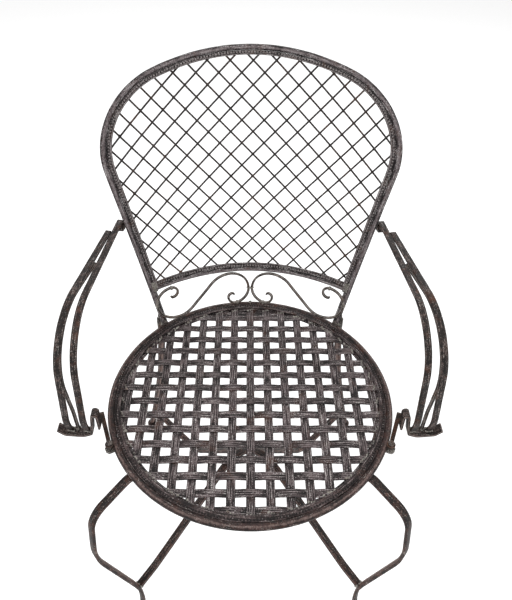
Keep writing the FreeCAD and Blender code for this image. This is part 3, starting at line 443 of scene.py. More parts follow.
# Rubbed bronze enamel on the flat ring: brown, with pale scratches along it.
ring_paint = aged_paint(
    "rubbed_bronze_on_edge_ring", "#120C0C #5F5150 #432C23 #9C9290 #C4BFBC",
    ridge=0.3, cloud=0.7, drag=1.1, rubbed_and_lit=0.4)
edge_section = eased([(190.9, 2.2), (198.8, 2.1), (198.9, -1.9), (199.95, -1.9), (199.95, 2.5),
                      (195.2, 2.8), (194.6, 3.6), (191.4, 3.7)], 0.25)
edge_ring = skin(
    "edge_ring", [round_seat(r, z) for r, z, w in edge_section], edge_section, 0, share=0.55,
    closed=True)
dress(edge_ring, ring_paint, "stamped_band", "seat_edge_band")
# Dark bronze enamel, nearly black on the stamped teeth as painted shade, so
# that the teeth read as a row of dark dots on the ring.
tooth_paint = aged_paint(
    "nearly_black_paint_as_stamping_shade", "#050404 #1A1514 #241712 #332C2A #6A6360",
    mottle=2.8, specked=0.68, rubbed_and_lit=0.0)
TOOTH_RADIUS = 197.4
TOOTH_MIDDLE = 3.0
tooth_line = stud_path(
    "tooth_line", round_seat(TOOTH_RADIUS, TOOTH_MIDDLE, 0), [UP] * RIM_RINGS, True)
teeth = grown(
    "edge_ring_teeth", tooth_line, studs, tooth_paint, Pitch=4.2 * MM, Length=2.2 * MM,
    Breadth=2.8 * MM, Height=1.5 * MM)
dress(teeth, tooth_paint, "stamped_band")

# Woven seat: ribbed flat steel strap, pressed over one and under the next. The
# ends are spot-welded under the edge band before painting.
weave, strap = geometry_tree(
    "strap_weave", "First", "Pitch", "CrossFirst", "CrossPitch", "Phase", "Width", "Thickness",
    "Rise", "Rib", "RibPitch", "Reach", "Turn", Straps="Int", Place="Vector")
STRAP_COLUMNS = 17
STRAP_STATIONS = 121
CREST_FLATTENING = 0.25
sheet = add(
    weave, "GeometryNodeMeshGrid",
    {"Size X": 1.0, "Size Y": 2.0, "Vertices X": STRAP_COLUMNS, "Vertices Y": STRAP_STATIONS})
spots = add(weave, "GeometryNodeMeshLine", {"Count": strap["Straps"], "Offset": (0, 0, 0)})
number = add(weave, "GeometryNodeInputIndex")
spots = add(
    weave, STORE, {"Geometry": spots, "Name": "strap", "Value": number})
straps = add(weave, "GeometryNodeInstanceOnPoints", {"Points": spots, "Instance": sheet})
straps = add(weave, "GeometryNodeRealizeInstances", (straps,))
# Across: each strap's columns are spread over its width, and its middle set.
number = add(weave, "GeometryNodeInputNamedAttribute", {"Name": "strap"})
at = add(weave, "ShaderNodeSeparateXYZ", (add(weave, "GeometryNodeInputPosition"),)).outputs
over = add(weave, MATH, (at[0], strap["Width"]), operation="MULTIPLY")
middle = add(weave, MATH, (number, strap["Pitch"], strap["First"]), operation="MULTIPLY_ADD")
x = add(weave, MATH, (middle, over))
# Along: the strap is cut to the round, at the chord of the reach.
squared = add(weave, MATH, (x, x), operation="MULTIPLY")
chord = add(weave, MATH, (strap["Reach"], 2.0), operation="POWER")
chord = add(weave, MATH, (chord, squared), operation="SUBTRACT")
chord = add(weave, MATH, (chord,), operation="SQRT")
y = add(weave, MATH, (at[1], chord), operation="MULTIPLY")
# Up: a cosine with flattened crests, half a turn on at each crossed strap.
wave = y
for operation, value in (("SUBTRACT", strap["CrossFirst"]), ("DIVIDE", strap["CrossPitch"]),
                         ("ADD", number), ("ADD", strap["Phase"]), ("MULTIPLY", math.pi)):
    wave = add(weave, MATH, (wave, value), operation=operation)
wave = add(weave, MATH, (wave,), operation="COSINE")
cubed = add(weave, MATH, (wave, 3.0), operation="POWER")
raised = add(weave, MATH, (wave, 1 + CREST_FLATTENING), operation="MULTIPLY")
raised = add(weave, MATH, (cubed, -CREST_FLATTENING, raised), operation="MULTIPLY_ADD")
raised = add(weave, MATH, (raised, strap["Rise"]), operation="MULTIPLY")
rib = add(weave, MATH, (over, strap["RibPitch"]), operation="DIVIDE")
rib = add(weave, MATH, (rib, 2 * math.pi), operation="MULTIPLY")
rib = add(weave, MATH, (rib,), operation="COSINE")
lowered = add(weave, MATH, (rib, strap["Rib"]), operation="MULTIPLY")
z = add(weave, MATH, (raised, lowered), operation="SUBTRACT")
z = add(weave, MATH, (strap["Thickness"], 0.5, z), operation="MULTIPLY_ADD")
# Wear and shade of the strap: lighter on its raised ribs and crests, partly rubbing and partly
# painted highlight, and darker as painted shade where it dips under the crossing strap.
ridge = add(weave, "ShaderNodeMapRange", {"Value": rib, "From Min": 0.2, "From Max": -1.0})
crest = add(weave, "ShaderNodeMapRange", {"Value": wave, "From Min": -0.6, "To Min": 0.15})
worn_and_shaded = add(weave, MATH, (ridge, crest), operation="MULTIPLY")
drawn = add(weave, "ShaderNodeCombineXYZ", (y, over, middle))
for name, value, kind in (("wear_and_shade", worn_and_shaded, "FLOAT"), ("grain", drawn, "FLOAT_VECTOR")):
    straps = add(weave, STORE,
                 {"Geometry": straps, "Name": name, "Value": value}, data_type=kind)
top = add(weave, "ShaderNodeCombineXYZ", (x, y, z))
straps = add(weave, "GeometryNodeSetPosition", {"Geometry": straps, "Position": top})
down = add(weave, MATH, (strap["Thickness"], -1.0), operation="MULTIPLY")
down = add(weave, "ShaderNodeCombineXYZ", {2: down})
under = add(weave, "GeometryNodeExtrudeMesh", {"Mesh": straps, "Offset": down, "Individual": False})
under = add(weave, "GeometryNodeFlipFaces", {"Mesh": under})
both = add(weave, "GeometryNodeJoinGeometry", (straps,))
weave.links.new(under.outputs[0], both.inputs[0])
both = add(weave, "GeometryNodeMergeByDistance", {"Geometry": both, "Distance": 0.01})
turn = add(weave, "ShaderNodeCombineXYZ", {2: strap["Turn"]})
both = add(
    weave, "GeometryNodeTransform",
    {"Geometry": both, "Translation": strap["Place"], "Rotation": turn, "Scale": (MM, MM, MM)})
close_tree(weave, both, strap)

# Rubbed bronze enamel on ribbed strap: mauve-brown, with the ribs worn to a
# lighter grey in long scratches, and painted shade where each strap dips under the next.
strap_paint = aged_paint(
    "rubbed_bronze_on_ribbed_strap", "#0E0909 #5D5051 #432C23 #A09796 #C4BFBC",
    cloud=0.5, drag=1.3, ridge=0.3, rubbed_and_lit=0.42, blotch=22, specked=0.6)
LENGTHWISE = {"Straps": 15, "First": -7 * 26.1, "Pitch": 26.1}
CROSSWISE = {"Straps": 16, "First": -7.5 * 25.2 + 5.1, "Pitch": 25.2}
for name, own, other, phase, turn, node in (
    ("straps_front_to_back", LENGTHWISE, CROSSWISE, 1, 0, "seat_straps_lengthwise"),
    ("straps_side_to_side", CROSSWISE, LENGTHWISE, 2, math.pi / 2, "seat_straps_crosswise"),
):
    woven = grown(
        name, bpy.data.meshes.new(name + "_seed"), weave, strap_paint, **own,
        CrossFirst=other["First"], CrossPitch=other["Pitch"], Phase=phase, Width=12.0,
        Thickness=1.05, Rise=0.68, Rib=0.13, RibPitch=3.0, Reach=198.6, Turn=turn, Place=SEAT * MM)
    dress(woven, strap_paint, "woven_strap", node)

# Under ring and filler: a flat hoop that the strap ends are welded down to, and
# one more strap laid flat at the rear, where it shuts the last gap of the weave.
UNDER_TOP = -1.55
UNDER_BOTTOM = -2.8
UNDER_INSIDE = 186.6
UNDER_OUTSIDE = 199.2
FILLER_FRONT = 175.0
FILLER_REAR = UNDER_INSIDE + 3
FILLER_REACH = UNDER_OUTSIDE - 1
FILLER_HALF = 82
FILLER_STEPS = 60
FILLER_TOP = UNDER_TOP - 0.05
FILLER_BOTTOM = UNDER_BOTTOM + 0.05
UNDER_WEAR = 0.4
under_section = eased([(UNDER_INSIDE, UNDER_BOTTOM), (UNDER_INSIDE, UNDER_TOP),
                       (UNDER_OUTSIDE, UNDER_TOP), (UNDER_OUTSIDE, UNDER_BOTTOM)], 0.35)
under_ring = skin(
    "strap_end_ring", [round_seat(r, z) for r, z, w in under_section], under_section, 0,
    share=UNDER_WEAR, closed=True)
dress(under_ring, strap_paint, "stamped_band")
filler_rings = []
for index in range(FILLER_STEPS + 1):
    x = (2 * index / FILLER_STEPS - 1) * FILLER_HALF
    rear = min(FILLER_REAR, math.sqrt(FILLER_REACH ** 2 - x * x))
    outline = eased([(FILLER_FRONT, FILLER_TOP), (rear, FILLER_TOP), (rear, FILLER_BOTTOM),
                     (FILLER_FRONT, FILLER_BOTTOM)], 0.4)
    filler_rings.append([SEAT + Vector((x, y, z)) for y, z, w in outline])
filler = loft(
    "rear_filler_strap", filler_rings, [UNDER_WEAR * w for y, z, w in outline],
    [y for y, z, w in outline])
dress(filler, strap_paint, "woven_strap")

# Back bow: one half-oval bar bent to a balloon and pressed to a shallow curve.
# Its feet stand on the rim; above the rail a stamped strip is welded inside it.
BACK_FOOT = SEAT + Vector((0, 185.6, 0))
RAKE = math.radians(19.65)
BACK_RADIUS = 324
CROWN_RADIUS = 332.8
CROWN_MIDDLE = 96.0
CROWN_STEPS = 16
SHOULDER_RADIUS = 126.4
SHOULDER_SPREAD = 89.1
SHOULDER_RISE = 282.18
SHOULDER_STEPS = 30
CROWN_ANGLE = 64.425
SIDE_TILT = 14.05
SIDE_STEPS = 28
BOW_WIDTH = 8.5
BOW_FOOT = -6.75
STRIP_WIDTH = 6.5
STRIP_FOOT = 61
STUD_INSET = 10.9
STUD_FOOT = STRIP_FOOT + 12
STUD_DEPTH = -4.7


def raked(x, y, rise):
    """A point of the upright back, turned back to its rake."""
    return BACK_FOOT + Vector(
        (x, y * math.cos(RAKE) + rise * math.sin(RAKE), rise * math.cos(RAKE) - y * math.sin(RAKE)))


def pressed(x, rise, depth):
    """A point of the flat drawing, pressed to the back's curve at a depth."""
    return raked(x, math.sqrt((BACK_RADIUS + depth) ** 2 - x * x) - BACK_RADIUS, rise)


def front_of(x):
    """The way that the back's face looks, at a distance from its middle."""
    angle = math.asin(x / BACK_RADIUS)
    return Vector(
        (-math.sin(angle), -math.cos(angle) * math.cos(RAKE), math.cos(angle) * math.sin(RAKE)))


def side_top(inset):
    """Where the bow's straight side, set in, meets its shoulder: x and rise."""
    shoulder = SHOULDER_RADIUS - inset
    tilt = math.radians(SIDE_TILT)
    return (SHOULDER_SPREAD + shoulder * math.cos(tilt), SHOULDER_RISE - shoulder * math.sin(tilt))


def side_at(rise, inset):
    """The distance from the middle of the bow's straight side, set in."""
    side_x, side_rise = side_top(inset)
    return side_x - (side_rise - rise) * math.tan(math.radians(SIDE_TILT))


def bow_outline(inset, foot):
    """Points (x, rise) of the bow's outline, set in, from one foot to the other."""
    shoulder = SHOULDER_RADIUS - inset
    side_rise = side_top(inset)[1]
    points = []
    for step in range(SIDE_STEPS):
        rise = foot + (side_rise - foot) * step / SIDE_STEPS
        points.append((side_at(rise, inset), rise))
    for step in range(SHOULDER_STEPS):
        turn = (CROWN_ANGLE + SIDE_TILT) * step / SHOULDER_STEPS
        angle = math.radians(-SIDE_TILT + turn)
        points.append((SHOULDER_SPREAD + shoulder * math.cos(angle),
                       SHOULDER_RISE + shoulder * math.sin(angle)))
    crown = CROWN_RADIUS - inset
    for step in range(CROWN_STEPS):
        angle = math.radians(CROWN_ANGLE + (90 - CROWN_ANGLE) * step / CROWN_STEPS)
        points.append((crown * math.cos(angle), CROWN_MIDDLE + crown * math.sin(angle)))
    mirrored = [(-x, rise) for x, rise in reversed(points)]
    return points + [(0, CROWN_MIDDLE + crown)] + mirrored


def back_skin(name, line, section, depth=HAMMER_DEPTH):
    """A skin whose section (inset, depth, wear and painted shade) follows lines of the back."""
    lines = [[pressed(x, rise, out) for x, rise in line(inset)] for inset, out, worn_and_shaded in section]
    return skin(name, lines, section, depth)


def back_studs(name, line, breadth):
    """A row of stamped studs on a line (x, rise) of the back's strips."""
    path = stud_path(
        name + "_line", [pressed(x, rise, STUD_DEPTH) for x, rise in line],
        [front_of(x) for x, rise in line])
    row = grown(name, path, studs, back_band_paint, Pitch=4.4 * MM, Length=2.6 * MM,
                Breadth=breadth * MM, Height=2.3 * MM)
    dress(row, back_band_paint, "stamped_band")


# The same enamel on the back, where it is rubbed most: lighter, with a bloom of
# pale scratches along the bars.
back_paint = aged_paint(
    "much_rubbed_bronze_enamel", "#0F0A09 #62585A #50362B #8E8685 #C2BEBD",
    ridge=0.42, tone=(0.98, 1.4), rubbed_and_lit=0.25, specked=0.585)
# Third numbers: the wear-and-shade mark, high on the front crown as rubbing and painted highlight,
# low on the sides and back as painted shade.
bow_section = [
    (0, 2.4, 0), (0, -2.2, 0), (0.5, -3.9, 0), (1.5, -5.1, 0.2), (2.9, -5.85, 0.7),
    (4.3, -5.95, 1), (5.8, -5.6, 0.8), (7.3, -4.6, 0.3), (8.3, -3.4, 0), (8.45, 2.4, 0),
    (7.8, 3, 0.3), (0.7, 3, 0.4),
]
bow = back_skin("bow_bar", lambda inset: bow_outline(inset, BOW_FOOT), bow_section)
dress(bow, back_paint, "painted_bar", "back_bow")
# Bronze enamel in the back's stamping: rubbed much paler than on the seat.
back_band_paint = aged_paint(
    "rubbed_bronze_in_stamping", "#0F0B0B #5B5152 #4F382D #9E9795 #CAC6C5",
    mottle=2.8, ridge=0.2, rubbed_and_lit=0.3, specked=0.585)
# Third numbers: the wear-and-shade mark, high on the strip's front lip as rubbing and painted
# highlight, low elsewhere as painted shade.
strip_section = [
    (8.5, -3.4, 0), (8.5, -4.4, 0), (12.9, -4.5, 0.05), (13.4, -5.6, 0.8), (14.1, -5.95, 1),
    (14.8, -5.6, 0.9), (15, -4.8, 0.5), (15, -3.4, 0.1),
]
strip = back_skin(
    "bow_stamped_strip", lambda inset: bow_outline(inset, STRIP_FOOT), strip_section, 0)
dress(strip, back_band_paint, "stamped_band", "back_bow_band")
back_studs("bow_strip_studs", bow_outline(STUD_INSET, STUD_FOOT), 3.0)

# Back rail: an arched bar welded between the bow's sides, with the same
# stamped strip standing on it.
RAIL_RISE = 83.25
RAIL_RADIUS = 586
RAIL_STEPS = 60
RAIL_TRIES = 12
RAIL_STRIP_END = BOW_WIDTH + STRIP_WIDTH
RAIL_STUD_END = RAIL_STRIP_END + 2
RAIL_STUD_RISE = 3.4


def rail_line(shift, inset):
    """Points (x, rise) of the rail, shifted up, out to the bow's inside."""
    radius = RAIL_RADIUS + shift
    middle = RAIL_RISE - RAIL_RADIUS
    end = side_top(inset)[0]
    for unused in range(RAIL_TRIES):
        end = side_at(middle + math.sqrt(radius ** 2 - end ** 2), inset)
    places = [end * (2 * step / RAIL_STEPS - 1) for step in range(RAIL_STEPS + 1)]
    return [(x, middle + math.sqrt(radius ** 2 - x * x)) for x in places]


# Third numbers: the wear-and-shade mark, high on the front crown as rubbing and painted highlight,
# low on the sides and back as painted shade.
rail_section = [
    (-7.5, 2.4, 0), (-7.5, -2.4, 0.1), (-7, -4.2, 0.3), (-5.9, -5.4, 0.8), (-4.4, -5.95, 1),
    (-2.9, -5.9, 0.8), (-1.4, -5.2, 0.3), (-0.1, -4, 0), (0, 2.4, 0), (-0.7, 3, 0.1),
    (-6.8, 3, 0.1),
]
rail = back_skin("rail_bar", lambda shift: rail_line(shift, BOW_WIDTH), rail_section)
dress(rail, back_paint, "painted_bar", "back_rail")
# Third numbers: the wear-and-shade mark, high on the strip's front lip as rubbing and painted
# highlight, low elsewhere as painted shade.
rail_strip_section = [
    (0, -3.4, 0), (8, -3.4, 0.1), (8, -5.1, 0.6), (7.6, -5.8, 0.9), (6.9, -5.9, 0.8),
    (6.3, -4.7, 0.1), (0, -4.5, 0),
]
rail_strip = back_skin(
    "rail_stamped_strip", lambda shift: rail_line(shift, RAIL_STRIP_END), rail_strip_section, 0)
dress(rail_strip, back_band_paint, "stamped_band", "back_rail_band")
back_studs("rail_strip_studs", rail_line(RAIL_STUD_RISE, RAIL_STUD_END), 3.2)

# Lattice: two layers of straight steel wire crossed on the slant, welded to
# each other at the crossings and to the stamped strips at their ends.
LATTICE_PITCH = 34.3
LATTICE_BASE = 303.05
LATTICE_SHIFT = 2.4
LATTICE_SIDE = 12
WIRE_RADIUS = 1.42
WIRE_STEP = 7
WIRE_INSET = BOW_WIDTH + STRIP_WIDTH / 2
WIRE_RAIL_RISE = 4
SEARCH_STEP = 0.25
SEARCH_STEPS = 1300


def on_back(s, rise, depth):
    """A point of the back at an arc length from its middle."""
    angle = s / BACK_RADIUS
    radius = BACK_RADIUS + depth
    return raked(radius * math.sin(angle), radius * math.cos(angle) - BACK_RADIUS, rise)


def inside_lattice(s, rise):
    """True inside the bow's strip and above the rail's strip."""
    x = abs(BACK_RADIUS * math.sin(s / BACK_RADIUS))
    if math.hypot(x, rise - RAIL_RISE + RAIL_RADIUS) < RAIL_RADIUS + WIRE_RAIL_RISE:
        return False
    beside, above = x - SHOULDER_SPREAD, rise - SHOULDER_RISE
    if -SIDE_TILT <= math.degrees(math.atan2(above, beside)) <= CROWN_ANGLE:
        return math.hypot(beside, above) < SHOULDER_RADIUS - WIRE_INSET
    if above > 0:
        return math.hypot(x, rise - CROWN_MIDDLE) < CROWN_RADIUS - WIRE_INSET
    return x < side_at(rise, WIRE_INSET)


wires, wire = geometry_tree("drawn_wires", "Radius")
run = add(wires, "GeometryNodeMeshToCurve", (wire["Geometry"],))
circle = add(
    wires, "GeometryNodeCurvePrimitiveCircle", {"Resolution": 10, "Radius": wire["Radius"]})
run = add(wires, "GeometryNodeCurveToMesh", {0: run, 1: circle, "Fill Caps": True})
close_tree(wires, run, wire)
# Bronze enamel on drawn wire: dark, thin and even, with only small stains.
wire_paint = aged_paint(
    "bronze_enamel_on_wire", "#15110F #453C39 #553C2E #8A827E #A39D98",
    mottle=4, blotch=30, rubbed_and_lit=0.3, pitting=0.05)
crossings, wire_ends, wire_starts = [], [], {1: [], -1: []}
for slope, depth, name, node in (
    (1, -1.2, "wires_rising_right", "lattice_wires_rising_right"),
    (-1, 1.8, "wires_rising_left", "lattice_wires_rising_left"),
):
    points, edges = [], []
    for index in range(-LATTICE_SIDE, LATTICE_SIDE + 1):
        start = LATTICE_BASE + LATTICE_PITCH * index - slope * LATTICE_SHIFT
        wire_starts[slope].append(start)
        tried = [k * SEARCH_STEP for k in range(-SEARCH_STEPS, SEARCH_STEPS)]
        inside = [s for s in tried if inside_lattice(s, start + slope * s)]
        if not inside or inside[-1] - inside[0] < LATTICE_PITCH / 2:
            continue
        steps = max(2, round((inside[-1] - inside[0]) / WIRE_STEP))
        for step in range(steps + 1):
            s = inside[0] + (inside[-1] - inside[0]) * step / steps
            if step:
                edges.append((len(points) - 1, len(points)))
            points.append(on_back(s, start + slope * s, depth) * MM)
            if step in (0, steps):
                wire_ends.append(on_back(s, start + slope * s, depth - 0.6))
    mesh = bpy.data.meshes.new(name + "_lines")
    mesh.from_pydata(points, edges, [])
    layer = grown(name, mesh, wires, wire_paint, 60, Radius=WIRE_RADIUS * MM)
    dress(layer, wire_paint, "painted_wire", node)
for rising in wire_starts[1]:
    for falling in wire_starts[-1]:
        s = (falling - rising) / 2
        if inside_lattice(s, rising + s):
            crossings.append(on_back(s, rising + s, 0.2))

welds, weld = geometry_tree("weld_beads", "Size", "Spread", "Roughness", Seed="Int")
bead = add(welds, "GeometryNodeMeshIcoSphere", {"Radius": weld["Size"], "Subdivisions": 2})
turn = add(
    welds, "FunctionNodeRandomValue", {"Max": (6.28, 6.28, 6.28), "Seed": weld["Seed"]},
    data_type="FLOAT_VECTOR")
least = add(welds, MATH, (1.0, weld["Spread"]), operation="SUBTRACT")
most = add(welds, MATH, (1.0, weld["Spread"]))
grow = add(
    welds, "FunctionNodeRandomValue", {0: least, 1: most, "Seed": weld["Seed"]},
    data_type="FLOAT_VECTOR")
beads = add(welds, "GeometryNodeMeshToPoints", {"Mesh": weld["Geometry"]})
beads = add(
    welds, "GeometryNodeInstanceOnPoints",
    {"Points": beads, "Instance": bead, "Rotation": turn, "Scale": grow})
beads = add(welds, "GeometryNodeRealizeInstances", (beads,))
at = add(welds, "GeometryNodeInputPosition")
lumps = add(welds, "ShaderNodeTexNoise", {"Vector": at, "Scale": 700.0, "Detail": 1.0})
lumps = add(
    welds, "ShaderNodeVectorMath", (lumps.outputs["Color"], (0.5, 0.5, 0.5)), operation="SUBTRACT")
lumps = add(
    welds, "ShaderNodeVectorMath", {0: lumps, "Scale": weld["Roughness"]}, operation="SCALE")
beads = add(welds, "GeometryNodeSetPosition", {"Geometry": beads, "Offset": lumps})
beads = add(
    welds, STORE, {"Geometry": beads, "Name": "wear_and_shade", "Value": 0.6})
close_tree(welds, beads, weld)


def beaded(name, points, paint, slot, size, spread, roughness, seed):
    """Weld beads at points in mm, by a tree that turns and sizes each by chance."""
    mesh = bpy.data.meshes.new(name + "_points")
    mesh.from_pydata([point * MM for point in points], [], [])
    piece = grown(
        name, mesh, welds, paint, 80, Size=size * MM, Spread=spread, Roughness=roughness * MM,
        Seed=seed)
    dress(piece, paint, slot)


beaded("wire_crossing_welds", crossings, wire_paint, "painted_wire", 2.1, 0.28, 1.1, 3)
# Weld metal under thin enamel: lumpy, greyer and paler than the bars.
weld_paint = aged_paint(
    "thin_enamel_on_weld_metal", "#35312E #8B867F #6A4D3A #BDB9B2 #DAD7D2",
    mottle=1.8, blotch=9, specked=0.58, rubbed_and_lit=0.4, metal=0.2)
beaded("wire_end_welds", wire_ends, weld_paint, "painted_wire", 2.3, 0.3, 1.2, 5)


# Scrolls: an S of square rod on each side, bent on a form from eye to eye and
# welded to the rim, to the rail and to each other.
def heading(angle):
    """A flat unit direction, in degrees."""
    return Vector((math.cos(math.radians(angle)), math.sin(math.radians(angle))))


STRAIGHT_STEP = 7
BEND_STEP = 6


def turned(start, angle, steps):
    """Stations (u, w, angle) of a run of (length,) or (radius, turn) steps."""
    here = Vector(start)
    stations = [(here.x, here.y, angle)]
    for step in steps:
        if len(step) == 1:
            count = max(1, round(step[0] / STRAIGHT_STEP))
            for unused in range(count):
                here = here + heading(angle) * (step[0] / count)
                stations.append((here.x, here.y, angle))
            continue
        radius, turn = step
        side = math.copysign(90, turn)
        centre = here + heading(angle + side) * radius
        count = max(2, round(abs(turn) / BEND_STEP))
        for index in range(1, count + 1):
            here = centre + heading(angle + turn * index / count - side) * radius
            stations.append((here.x, here.y, angle + turn * index / count))
        angle += turn
    return stations


def bar_point(plane, station, x, y):
    """A point beside a bar's station: x outwards in its plane, y sideways."""
    origin, across, upright = (Vector(part) for part in plane)
    u, w, angle = station
    ahead = heading(angle)
    outward = across * ahead.y - upright * ahead.x
    return origin + across * u + upright * w + outward * x + upright.cross(across) * y


def bar(name, stations, plane, section, taper=lambda place: 1):
    """Bar of one section (x, y, wear and painted shade) along stations in a plane, in mm."""
    scales = [taper(index / (len(stations) - 1)) for index in range(len(stations))]
    lines = [[bar_point(plane, station, x * scale, y * scale)
              for station, scale in zip(stations, scales)] for x, y, worn_and_shaded in section]
    return skin(name, lines, section, side=1)


def mirror(piece, name):
    """The same piece for the chair's other side."""
    mesh = piece.data.copy()
    mesh.transform(Matrix.Scale(-1, 4, (1, 0, 0)))
    reshape(mesh, turn_outwards)
    return placed(name, mesh)


def pair(name, node, run, paint, slot="painted_bar", sides=("right", "left")):
    """A bar and its mirrored twin, for the CAD nodes of both sides."""
    piece = bar(name.format(sides[0]), *run)
    dress(piece, paint, slot, node.format(sides[0]))
    dress(mirror(piece, name.format(sides[1])), paint, slot, node.format(sides[1]))


def drawn_out(place):
    """The rod is drawn out a little thinner towards its two eyes."""
    return min(1, 0.72 + 5 * min(place, 1 - place))


# Grey-green bronze on bent rod: the enamel is thin here and rubs to grey.
rod_paint = aged_paint(
    "thin_bronze_on_bent_rod", "#27211F #7F7670 #5E4535 #A9A29C #C6C2BD",
    mottle=2.6, rubbed_and_lit=0.45)
SCROLL_PLANE = (SEAT + Vector((0, 213.8, 0)), (0.9003, 0.4352, 0), (-0.0455, 0.0941, 0.9945))
scroll_stations = turned((-29.6, 24.1), 90, [
    (4.2, 90), (6.5, 90), (15.5, 90), (23, 90), (40.85, 90), (38, 43), (51.6,),
    (36, -43), (34, -90), (27, -90), (10, -90), (9, -90), (3, -90)])
rod_section = eased([(-2, -2), (-2, 2), (2, 2), (2, -2)], 1.1)
pair("scroll_{}_rod", "back_scroll_{}", (scroll_stations, SCROLL_PLANE, rod_section, drawn_out),
     rod_paint, "painted_wire", ("left", "right"))

# Button: a small lobed stud pressed from plate, on the rim where the scrolls
# meet.
BUTTON_PLACE = SEAT + Vector((0, 205, 4.1))
BUTTON_POINTS = 30
BUTTON_LOBES = 5
BUTTON_SCALE = 0.87
button_rings = []
for height, radius in ((0, 2.9), (0.9, 3.0), (2.0, 2.5), (3.0, 1.6), (3.6, 1.5), (4.0, 0.7)):
    ring = []
    for index in range(BUTTON_POINTS):
        angle = 2 * math.pi * index / BUTTON_POINTS
        lobe = 0.16 * math.cos(BUTTON_LOBES * angle) * (1 - height / 5)
        reach = radius * (1 + lobe) * BUTTON_SCALE
        ring.append(
            BUTTON_PLACE + Vector((reach * math.cos(angle), reach * math.sin(angle), height)))
    button_rings.append(ring)
button = loft("lobed_stud", button_rings, [0.7] * BUTTON_POINTS, [0] * BUTTON_POINTS)
dress(button, weld_paint, "painted_bar", "rim_button")

# Arms: two half-oval bars and a thin rod on each side. The inner bar's rear end
# is rolled into an eye on the bow; all three are welded to the foot strap.
STRAIGHT_PITCH = 7.5
ARC_STEP = 5


def bent(corners, pitch=STRAIGHT_PITCH):
    """Stations (u, w, angle) along corners (u, w, radius), with true arcs."""
    places = [Vector(corner[:2]) for corner in corners]
    stations = []
    start = places[0]

    def straight(begin, end):
        run = end - begin
        angle = math.degrees(math.atan2(run.y, run.x))
        count = max(1, round(run.length / pitch))
        for index in range(count):
            point = begin + run * (index / count)
            stations.append((point.x, point.y, angle))
        return angle

    for index in range(1, len(places) - 1):
        corner = places[index]
        radius = corners[index][2]
        back = (places[index - 1] - corner).normalized()
        ahead = (places[index + 1] - corner).normalized()
        half = back.angle(ahead) / 2
        begin = corner + back * (radius / math.tan(half))
        end = corner + ahead * (radius / math.tan(half))
        angle = straight(start, begin)
        turn = math.degrees(math.pi - 2 * half)
        side = 90 if (-back).cross(ahead) > 0 else -90
        centre = begin + heading(angle + side) * radius
        count = max(2, round(turn / ARC_STEP))
        for step in range(count):
            swung = angle + math.copysign(turn, side) * step / count
            point = centre + heading(swung - side) * radius
            stations.append((point.x, point.y, swung))
        start = end
    angle = straight(start, places[-1])
    return stations + [(places[-1].x, places[-1].y, angle)]


# Hand-rubbed bronze enamel on steel bar: dark brown, greyer where it is rubbed,
# with rust-brown stains and pale specks of primer.
bar_paint = aged_paint(
    "rubbed_bronze_enamel", "#120C0A #6D5D58 #4C2F22 #A0948E #B9B3AE",
    ridge=0.5, tone=(0.98, 1.3))
# Third numbers: the wear-and-shade mark, high on the outer ridge as rubbing and painted highlight,
# low on the sides and flat back as painted shade.
arm_section = [
    (-2.5, -4, 0), (-2.5, 4, 0), (-1.9, 4.5, 0.2), (0.6, 4.5, 0.2), (1.4, 3.9, 0.5),
    (1.9, 2.2, 0.3), (2.45, 0.6, 1), (2.45, -0.6, 1), (1.9, -2.2, 0.3), (1.4, -3.9, 0.5),
    (0.6, -4.5, 0.2), (-1.9, -4.5, 0.2),
]
eye = turned((0, 0), 333.1945, [(5, -150), (6, -90), (7.5, -90)])
eye = [(u - eye[-1][0], w - eye[-1][1] + 187, angle) for u, w, angle in eye]
inner_run = bent([(0, 187, 0), (250.84, 201, 80), (265.84, 40, 60), (256.84, 15.9, 0)])
outer_run = bent([(0, 188, 0), (223.84, 201, 80), (238.84, 40, 60), (229.84, 14.4, 0)])
rod_run = bent([(0, 187, 0), (158.2, 193, 92), (151.2, 48, 60), (152.2, 13.2, 0)])
INNER_PLANE = ((202.4, 122.84, 450), (0.09221, -0.99574, 0), (-0.01825, -0.00169, 0.99983))
OUTER_PLANE = ((217.524, 96.865, 450), (0.14013, -0.99013, 0), (-0.03283, -0.00465, 0.99945))
ROD_PLANE = ((209.937, 21.198, 450), (0.19783, -0.98024, 0), (0.04447, 0.00897, 0.99897))
arm_rod_section = eased([(-2.25, -2.25), (-2.25, 2.25), (2.25, 2.25), (2.25, -2.25)], 1.4)
pair("arm_inner_{}", "arm_inner_bar_{}", (eye + inner_run[1:], INNER_PLANE, arm_section),
     bar_paint)
pair("arm_outer_{}", "arm_outer_bar_{}", (outer_run, OUTER_PLANE, arm_section), bar_paint)
pair("arm_rod_{}_bar", "arm_rod_{}", (rod_run, ROD_PLANE, arm_rod_section), rod_paint)

# Foot straps: wide strap waved over a hump and a trough, under the arm bars.
# The bars stand in the trough; the hump is held by the rim tab.
STRAP_PITCH = 4
strap_edge = eased([(-1.5, -7.5), (-1.5, 7.5), (1.5, 7.5), (1.5, -7.5)], 0.8)
strap_run = bent([(207.4, 26, 0), (207.9, 54, 3.5), (214.6, 54, 3.5), (219.2, 14.8, 3.5),
                  (231.58, 9.8, 14), (256.6, 12.8, 8), (265.6, 22, 0)], STRAP_PITCH)
FOOT_PLANE = (SEAT - Vector((0, 71, 0)), (1, 0, 0), UP)
pair("foot_strap_{}", "arm_foot_strap_{}", (strap_run, FOOT_PLANE, strap_edge), bar_paint)

